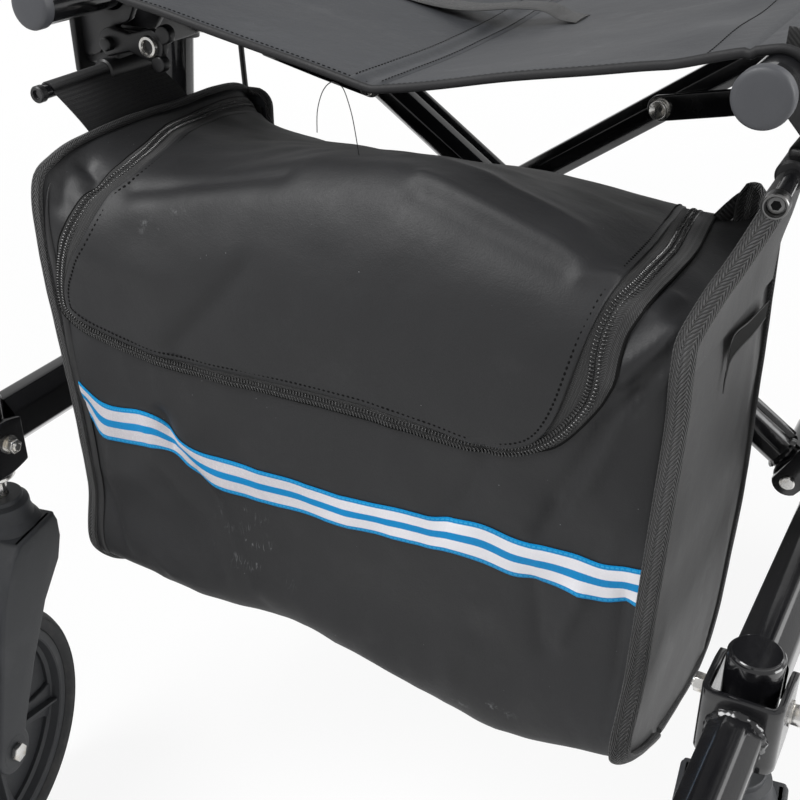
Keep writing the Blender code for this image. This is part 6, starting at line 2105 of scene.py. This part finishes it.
    def hangers(self) -> None:
        """The two cloth sleeves by which the bag hangs on its rods."""
        sleeves = (
            # The left sleeve wears the side cloth that is painted lighter, as painted light.
            (Side.LEFT, SIDE_CLOTH_PAINTED_LIGHT,
             ((0.1992, -0.1600, 0.4600), (0.1990, -0.1530, 0.4800), (0.2050, -0.1390, 0.5005),
              (0.2120, -0.1280, 0.5190), (0.2210, -0.1195, 0.5345)),
             ((0.1985, 0.0080, 0.4440), (0.2000, -0.0020, 0.4700), (0.2060, -0.0180, 0.4950),
              (0.2120, -0.0330, 0.5170), (0.2195, -0.0440, 0.5365))),
            (Side.RIGHT, FELTED,
             ((0.1945, -0.1215, 0.5010), (0.1960, -0.1240, 0.5080), (0.2000, -0.1290, 0.5190),
              (0.2050, -0.1340, 0.5300), (0.2098, -0.1375, 0.5385)),
             ((0.1945, -0.0260, 0.5030), (0.1960, -0.0290, 0.5090), (0.2000, -0.0350, 0.5190),
              (0.2050, -0.0410, 0.5290), (0.2098, -0.0460, 0.5385))),
        )
        for side, finish, front, rear in sleeves:
            sign, name = side.value, f"hanger_sleeve_{side.word}"
            first = np.array([tuple(p) for p in smooth_route(front, 5)])
            second = np.array([tuple(p) for p in smooth_route(rear, 5)])
            climb, over, columns = len(first) - 1, 12, 30

            for start, rows in ((0, climb + 2), (climb, over)):

                def rule(u: np.ndarray, w: np.ndarray) -> np.ndarray:
                    """From the panel up, over the rod and down its far side."""
                    j = start + np.rint(w * rows).astype(int)
                    low = np.minimum(j, climb)
                    place = first[low] * (1 - u)[:, None] + second[low] * u[:, None]
                    billow = 0.0020 * np.sin(low / climb * math.pi) * np.sin(u * 7.0 + 0.6) * sign
                    angle = np.radians(np.maximum(j - climb, 0) * 19.0)
                    reach = (0.0052 + (0.0003 if start else 0.0)) * sign
                    x = place[:, 0] + billow - reach * (1 - np.cos(angle))
                    z = place[:, 2] + abs(reach) * np.sin(angle)
                    return np.stack([sign * x, place[:, 1], z], axis=1)

                def flat(u: np.ndarray, w: np.ndarray) -> np.ndarray:
                    """The sleeve's map in metres."""
                    return np.stack([u * 0.09, (start + w * rows) * 0.0017], axis=1)

                form = Form().sheet(columns, rows, rule, flat).thicken(0.0010)
                if start:
                    form.piece(f"{name}_roll", finish, Slot.BAG, f"side_frame_{side.word}", angle=60)
                else:
                    self.dress(form, name, finish)

    def tabs(self) -> None:
        """The tab with its hook patch, the ribbed loop, the strap's rounded end and the binding's foot."""
        y = 0.0345
        outline = [(-0.2000, 0.4640), (-0.1752, 0.4640)] + arc((-0.1850, 0.4905), 0.0100, 0, 90, 8)
        tab = Form().slab(outline + [(-0.2000, 0.5005)], -0.0012, 0.0012)
        tab.moved(front_view(y - FRONT_ENDS_Y)).eased(0.0007, 2, 40)
        self.dress(tab, "rear_tab", SEAT_CLOTH)
        rim = [(-0.1960, 0.5000), (-0.1850, 0.5003)] + arc((-0.1850, 0.4903), 0.0098, 80, 5, 7)
        rim = [Vector((x, y, z)) for x, z in rim + [(-0.1753, 0.4800), (-0.1753, 0.4650)]]
        form = Form().swept(even_route(smooth_route(rim, 4), 0.002), oval(0.0028, 0.0030, 14), up=(0, 1, 0))
        form.mapped(lambda co: (co.x + co.z, co.y))
        self.dress(form, "rear_tab_binding", BINDING)
        square = [(-0.1925, 0.4700), (-0.1800, 0.4700), (-0.1800, 0.4905), (-0.1925, 0.4905)]
        patch = Form().slab(square, 0.0013, 0.0026).moved(front_view(y - FRONT_ENDS_Y)).eased(0.0007, 2, 40)
        self.dress(patch, "hook_patch", HOOKS)
        loop = [Vector((0.1590, -0.003, 0.4700)), Vector((0.1640, -0.003, 0.4765)), Vector((0.1715, -0.003, 0.4865))]
        loop += [Vector((0.1780, -0.001, 0.4930)), Vector((0.1850, 0.002, 0.4930)), Vector((0.1900, 0.004, 0.4800))]
        ribbed = Form().swept(even_route(smooth_route(loop, 8), 0.0012), circle(0.0046, 18), up=(-0.6, 0.0, 0.8))
        ribbed.mapped(lambda co: (co.x * 0.7 + co.z, co.y))
        self.dress(ribbed, "ribbed_loop", RIBBED)
        tongue = [(0.1742, 0.4700), (0.1738, 0.4880), (0.1752, 0.4975), (0.1785, 0.5035), (0.1825, 0.5055)]
        tongue += [(0.1865, 0.5045), (0.1900, 0.5005), (0.1935, 0.4930), (0.1945, 0.4700)]
        end = Form().slab(tongue, 0.0, 0.0070).moved(front_view(-0.0030 - FRONT_ENDS_Y)).eased(0.0030, 4, 40)
        end.mapped(lambda co: (co.z + 0.4 * co.x, co.x))
        self.dress(end, "strap_end", BINDING)


@dataclass
class Seat:
    """The cloth seat between its two rails, in two panels with a strip over their joint."""

    rail: Pair = SEAT_RAIL
    inner_r: float = 0.0134
    front: float = -0.1181
    rear: float = 0.1419
    valley: float = 0.5628
    thick: float = 0.0021

    def section(self) -> np.ndarray:
        """The seat from its left wrap over the middle to its right wrap, as X, Z and length."""
        wrap = arc(self.rail, self.inner_r + self.thick, -22, 97, 25)
        x0, z0 = wrap[-1]
        run = [(x0 * (1 - t), self.valley + (z0 - self.valley) * (1 - t) ** 1.06) for t in np.linspace(0, 1, 90)[1:]]
        half = wrap + run
        whole = np.array([(-x, z) for x, z in half] + half[-2::-1])
        along = np.concatenate([[0.0], np.cumsum(np.linalg.norm(np.diff(whole, axis=0), axis=1))])
        return np.column_stack([whole, along])

    def surface(self, along: np.ndarray, w: np.ndarray, lift: np.ndarray | float = 0.0) -> np.ndarray:
        """Points on the seat.

        Args:
            along: The length from the wrap's end.
            w: The share from the front to the rear.
            lift: How far above the cloth.

        Returns:
            The points.
        """
        table = self.section()
        x, z = np.interp(along, table[:, 2], table[:, 0]), np.interp(along, table[:, 2], table[:, 1])
        step = 0.0005
        dx = np.interp(along + step, table[:, 2], table[:, 0]) - np.interp(along - step, table[:, 2], table[:, 0])
        dz = np.interp(along + step, table[:, 2], table[:, 1]) - np.interp(along - step, table[:, 2], table[:, 1])
        size = np.maximum(np.hypot(dx, dz), 1e-9)
        free = np.clip((0.190 - np.abs(x)) / 0.03, 0.0, 1.0)
        y = self.front + (self.rear - self.front) * w
        droop = -0.0042 * np.sin(np.pi * w) * free * np.cos(np.clip(np.abs(x) / 0.19, 0, 1) * np.pi / 2)
        pull = 0.0016 * np.sin(y * 62.0 + np.abs(x) * 30.0) * np.exp(-((np.abs(x) - 0.165) / 0.022) ** 2) * free
        soft = np.array([noise.noise(Vector((a * 14, b * 14, 0))) * 0.0012 for a, b in zip(x, y)]) * free
        curl = -0.0009 * np.exp(-((y - self.front) / 0.006) ** 2) * free
        rise = droop + pull + soft + curl
        rail_in = 0.0012 * np.exp(-((np.abs(x) - 0.1955) / 0.0012) ** 2)
        lift = lift - rail_in
        return np.stack([x - dz / size * lift, y, z + rise + dx / size * lift], axis=1)

    def place(self, made: bpy.types.Object) -> bpy.types.Object:
        """Bakes a piece's place into its mesh."""
        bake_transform(made)
        return made

    def dress(self, form: Form, name: str, finish: Finish, stands_for: Iterable[str] = ()) -> bpy.types.Object:
        """Finishes a piece of the seat."""
        return self.place(form.piece(name, finish, Slot.SEAT, "", stands_for, 60))

    def build(self) -> None:
        """Builds the cloth, its hems and seams, the middle strip and the pull strap."""
        length = float(self.section()[-1, 2])
        form = Form().sheet(184, 92, lambda u, w: self.surface(u * length, w))
        form.thicken(self.thick)
        seat = self.dress(form, "seat_cloth", SEAT_CLOTH, ["seat"])
        pieces = [self.hem("front_hem", self.front + 0.0012, length), self.hem("rear_hem", self.rear - 0.0012, length)]
        pieces.append(self.strip(length))
        pieces += self.seams(length)
        pieces += self.rail_sleeves()
        pieces.append(self.pull())
        pieces += self.threads()

    def hem(self, name: str, y: float, length: float) -> bpy.types.Object:
        """A piped hem along the seat's edge."""
        share = (y - self.front) / (self.rear - self.front)
        along = np.linspace(0.002, length - 0.002, 170)
        spots = self.surface(along, np.full(len(along), share), -0.0008)
        form = Form().swept([Vector(p) for p in spots], oval(0.0024, 0.0019, 14), up=(0, 1, 0))
        form.mapped(lambda co: (co.x + co.z * 0.3, co.y))
        return self.dress(form, name, HEM_CLOTH)

    def strip(self, length: float) -> bpy.types.Object:
        """The raised strip over the joint of the two panels, with its soft edges."""
        half, steps = 0.0105, 16
        edge = [0.0001, 0.0011, 0.0015, 0.0016, 0.0016, 0.0013, 0.0008, 0.0005]
        rise = np.array(edge + [0.0003] + edge[::-1])

        def rule(u: np.ndarray, w: np.ndarray) -> np.ndarray:
            """Lays the strip along the middle, a little to the left at the front."""
            i = np.rint(u * steps).astype(int)
            middle = length / 2 - 0.0055 + 0.002 * w
            return self.surface(middle + (u * 2 - 1) * half, 0.004 + w * 0.992, rise[i])

        form = Form().sheet(steps, 92, rule)
        return self.dress(form, "middle_strip", SEAT_CLOTH)

    def seams(self, length: float) -> list[bpy.types.Object]:
        """Rows of stitches along the strip, the hem and the rails."""
        rows = []
        middle, pitch, width = length / 2 - 0.0050, 0.0034, self.rear - self.front
        runs = (
            ("strip_stitches_1", middle - 0.0085, True, 0.0017),
            ("strip_stitches_2", middle + 0.0085, True, 0.0017),
            ("rail_stitches_left", 0.066, True, 0.0002),
            ("rail_stitches_right", length - 0.066, True, 0.0002),
            ("hem_stitches", 0.0062, False, 0.0002),
        )
        size = Matrix.Diagonal((0.00125, 0.00040, 0.00028, 1))
        for name, where, lengthwise, lift in runs:
            if lengthwise:
                w = np.arange(0.02, 0.985, pitch / width)
                along = np.full(len(w), where)
            else:
                along = np.arange(0.062, length - 0.062, pitch)
                w = np.full(len(along), where / width)
            spots = self.surface(along, w, lift)
            places = []
            for index in range(1, len(spots) - 1):
                run = Vector(spots[index + 1] - spots[index - 1])
                turn = run.to_track_quat("X", "Z").to_matrix().to_4x4()
                places.append(Matrix.Translation(spots[index]) @ turn @ size)
            rows.append(self.dress(Form().beads(places, 6, 4), name, SEWING))
        return rows

    def rail_sleeves(self) -> list[bpy.types.Object]:
        """The ribbed tape at the front edge of the cloth's wrap on each rail."""
        made = []
        y, bend = self.front + 0.0075, arc(self.rail, self.inner_r + self.thick + 0.0003, -18, 92, 23)
        for side in (Side.RIGHT, Side.LEFT):
            path = [Vector((side.value * x, y, z)) for x, z in bend]
            form = Form().swept(path, oval(0.0075, 0.0008, 14), up=(0, 1, 0))
            form.mapped(lambda co: (co.y, co.x + co.z))
            made.append(self.dress(form, f"rail_tape_{side.word}", RIBBED))
        return made

    def pull(self) -> bpy.types.Object:
        """The strap across the middle by which the seat is pulled up, sewn down at both ends."""
        run = ((-0.092, 0.5780), (-0.050, 0.5712), (-0.0211, 0.5702), (0.0100, 0.5742), (0.0290, 0.5745),
               (0.0400, 0.5706), (0.0520, 0.5697))
        path = [Vector((x, 0.056, z)) for x, z in run]
        form = Form().swept(even_route(smooth_route(path, 10), 0.003), oval(0.0125, 0.0011, 16))
        form.mapped(lambda co: (co.x, co.y))
        return self.dress(form, "pull_strap", TAPE)

    def threads(self) -> list[bpy.types.Object]:
        """The loose ends of sewing thread at the middle of the front hem."""
        runs = (
            ((-0.0229, 0.5630), (-0.0268, 0.5600), (-0.0303, 0.5545), (-0.0332, 0.5450), (-0.0339, 0.5335)),
            ((-0.0229, 0.5628), (-0.0185, 0.5618), (-0.0154, 0.5591), (-0.0120, 0.5500), (-0.0098, 0.5408),
             (-0.0071, 0.5244)),
        )
        made = []
        for index, run in enumerate(runs):
            path = smooth_route([Vector((x, self.front - 0.0010, z)) for x, z in run], 5)
            form = Form().swept(path, circle(0.00030, 6), up=(0, 1, 0))
            made.append(self.dress(form, f"loose_thread_{index + 1}", THREAD))
        return made


@dataclass(frozen=True)
class Lamp:
    """A square soft lamp, with its width in metres and its power in watts."""

    name: str
    place: Triple
    target: Triple
    size: float
    power: float

    def hang(self) -> None:
        """Puts the lamp into the scene."""
        light = bpy.data.lights.new(self.name, "AREA")
        light.shape = "SQUARE"
        light.size = self.size
        light.energy = self.power
        lamp = bpy.data.objects.new(self.name, light)
        lamp.matrix_world = stood(self.place, Vector(self.place) - Vector(self.target))
        bpy.context.scene.collection.objects.link(lamp)


@dataclass
class Studio:
    """The camera at the photograph's angle, the soft lamps, the pale floor and the white surroundings."""

    spot: Triple = (0.3174, -0.6526, 0.7289)
    azimuth: float = 29.3765
    elevation: float = 29.9322
    roll: float = 0.5761
    focal: float = 1173.34 / 800 * 36
    lamps = (
        Lamp("lamp_above", (-0.85, -1.10, 2.10), (0.0, -0.10, 0.4), 1.1, 47.0),
        Lamp("lamp_left", (2.20, 0.20, 1.20), (0.10, -0.10, 0.40), 1.2, 38.0),
        Lamp("lamp_behind", (1.40, 1.70, 1.60), (-0.10, 0.10, 0.50), 1.2, 10.0),
    )

    def build(self) -> None:
        """Builds everything round the object."""
        scene = bpy.context.scene
        scene.view_settings.view_transform = "Standard"
        self.camera(scene)
        for lamp in self.lamps:
            lamp.hang()
        self.floor()
        self.surroundings(scene)

    def camera(self, scene: bpy.types.Scene) -> None:
        """Sets the camera from its measured place and angles."""
        a, e, r = (math.radians(v) for v in (self.azimuth, self.elevation, self.roll))
        ahead = Vector((-math.sin(a) * math.cos(e), math.cos(a) * math.cos(e), -math.sin(e)))
        right = Vector((math.cos(a), math.sin(a), 0))
        down = ahead.cross(right)
        across = right * math.cos(r) + down * math.sin(r)
        rise = right * math.sin(r) - down * math.cos(r)
        camera = bpy.data.objects.new("Camera", bpy.data.cameras.new("Camera"))
        camera.data.lens = self.focal
        camera.data.sensor_width = 36.0
        camera.data.clip_start = 0.02
        camera.matrix_world = Matrix.Translation(self.spot) @ Matrix((across, rise, -ahead)).transposed().to_4x4()
        scene.collection.objects.link(camera)
        scene.camera = camera

    def floor(self) -> None:
        """A pale floor that keeps the object's shadow."""
        form = Form()
        bmesh.ops.create_grid(form.bm, x_segments=1, y_segments=1, size=20.0)
        mesh = bpy.data.meshes.new("floor")
        form.bm.to_mesh(mesh)
        form.bm.free()
        recipe = Recipe("pale_floor")
        recipe.shade(Base_Color=(0.94, 0.94, 0.94), Roughness=0.9, Specular_IOR_Level=0.1)
        glow = recipe.node("ShaderNodeEmission", {}, {0: (1.0, 1.0, 1.0), 1: 1.0})
        share = self.plain_share(recipe, 0.55) * (1.0 - recipe.spot((0.0, 0.0, 0.0), 2.2) * 0.10)
        surface = Signal(recipe, recipe.shader.outputs[0])
        mixed = recipe.node("ShaderNodeMixShader", {}, {0: share, 1: surface, 2: glow})
        recipe.tree.links.new(mixed.socket, recipe.tree.nodes["Material Output"].inputs[0])
        mesh.materials.append(recipe.material)
        floor = bpy.data.objects.new("floor", mesh)
        bpy.context.scene.collection.objects.link(floor)

    def surroundings(self, scene: bpy.types.Scene) -> None:
        """A world that is white to the camera and in reflections, and softer as light."""
        world = bpy.data.worlds.new("white_room")
        world.use_nodes = True
        scene.world = world
        recipe = Recipe("white_room", world.node_tree)
        plain = self.plain_share(recipe, 0.50)
        back = world.node_tree.nodes["Background"]
        recipe.fill(back.inputs[0], (1.0, 1.0, 1.0))
        recipe.fill(back.inputs[1], plain * 0.80 + 0.20)

    @staticmethod
    def plain_share(recipe: Recipe, glossy_share: float) -> Signal:
        """How far a ray sees plain white: the camera's own fully, and a reflected one by a share."""
        kinds = ("Camera", "Glossy", "Transmission")
        seen, glossy, through = (recipe.node("ShaderNodeLightPath", output=f"Is {kind} Ray") for kind in kinds)
        return seen.math("MAXIMUM", seen.math("MAXIMUM", seen, glossy * glossy_share), through)


def dress_kept_nodes() -> None:
    """Gives the CAD nodes that stay their own finishes."""
    for side in Side:
        for stem in ("caster_stem", "front_axle", "rear_axle"):
            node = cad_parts[f"{stem}_{side.word}"]
            for slot in node.material_slots:
                slot.material = SHELF.get(ZINC)


def main() -> None:
    """Builds the rollator, sub-assembly by sub-assembly."""
    logging.basicConfig(level=logging.INFO, format="%(message)s")
    Studio().build()
    for side in Side:
        SideFrame(side).build()
        Caster(side).build()
        RearBrake(side).build()
        Handle(side).build()
        Strut(side).build()
        LOG.info("the %s side is done", side.word)
    dress_kept_nodes()
    Seat().build()
    Bag().build()
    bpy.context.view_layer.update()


if __name__ == "__main__":
    main()
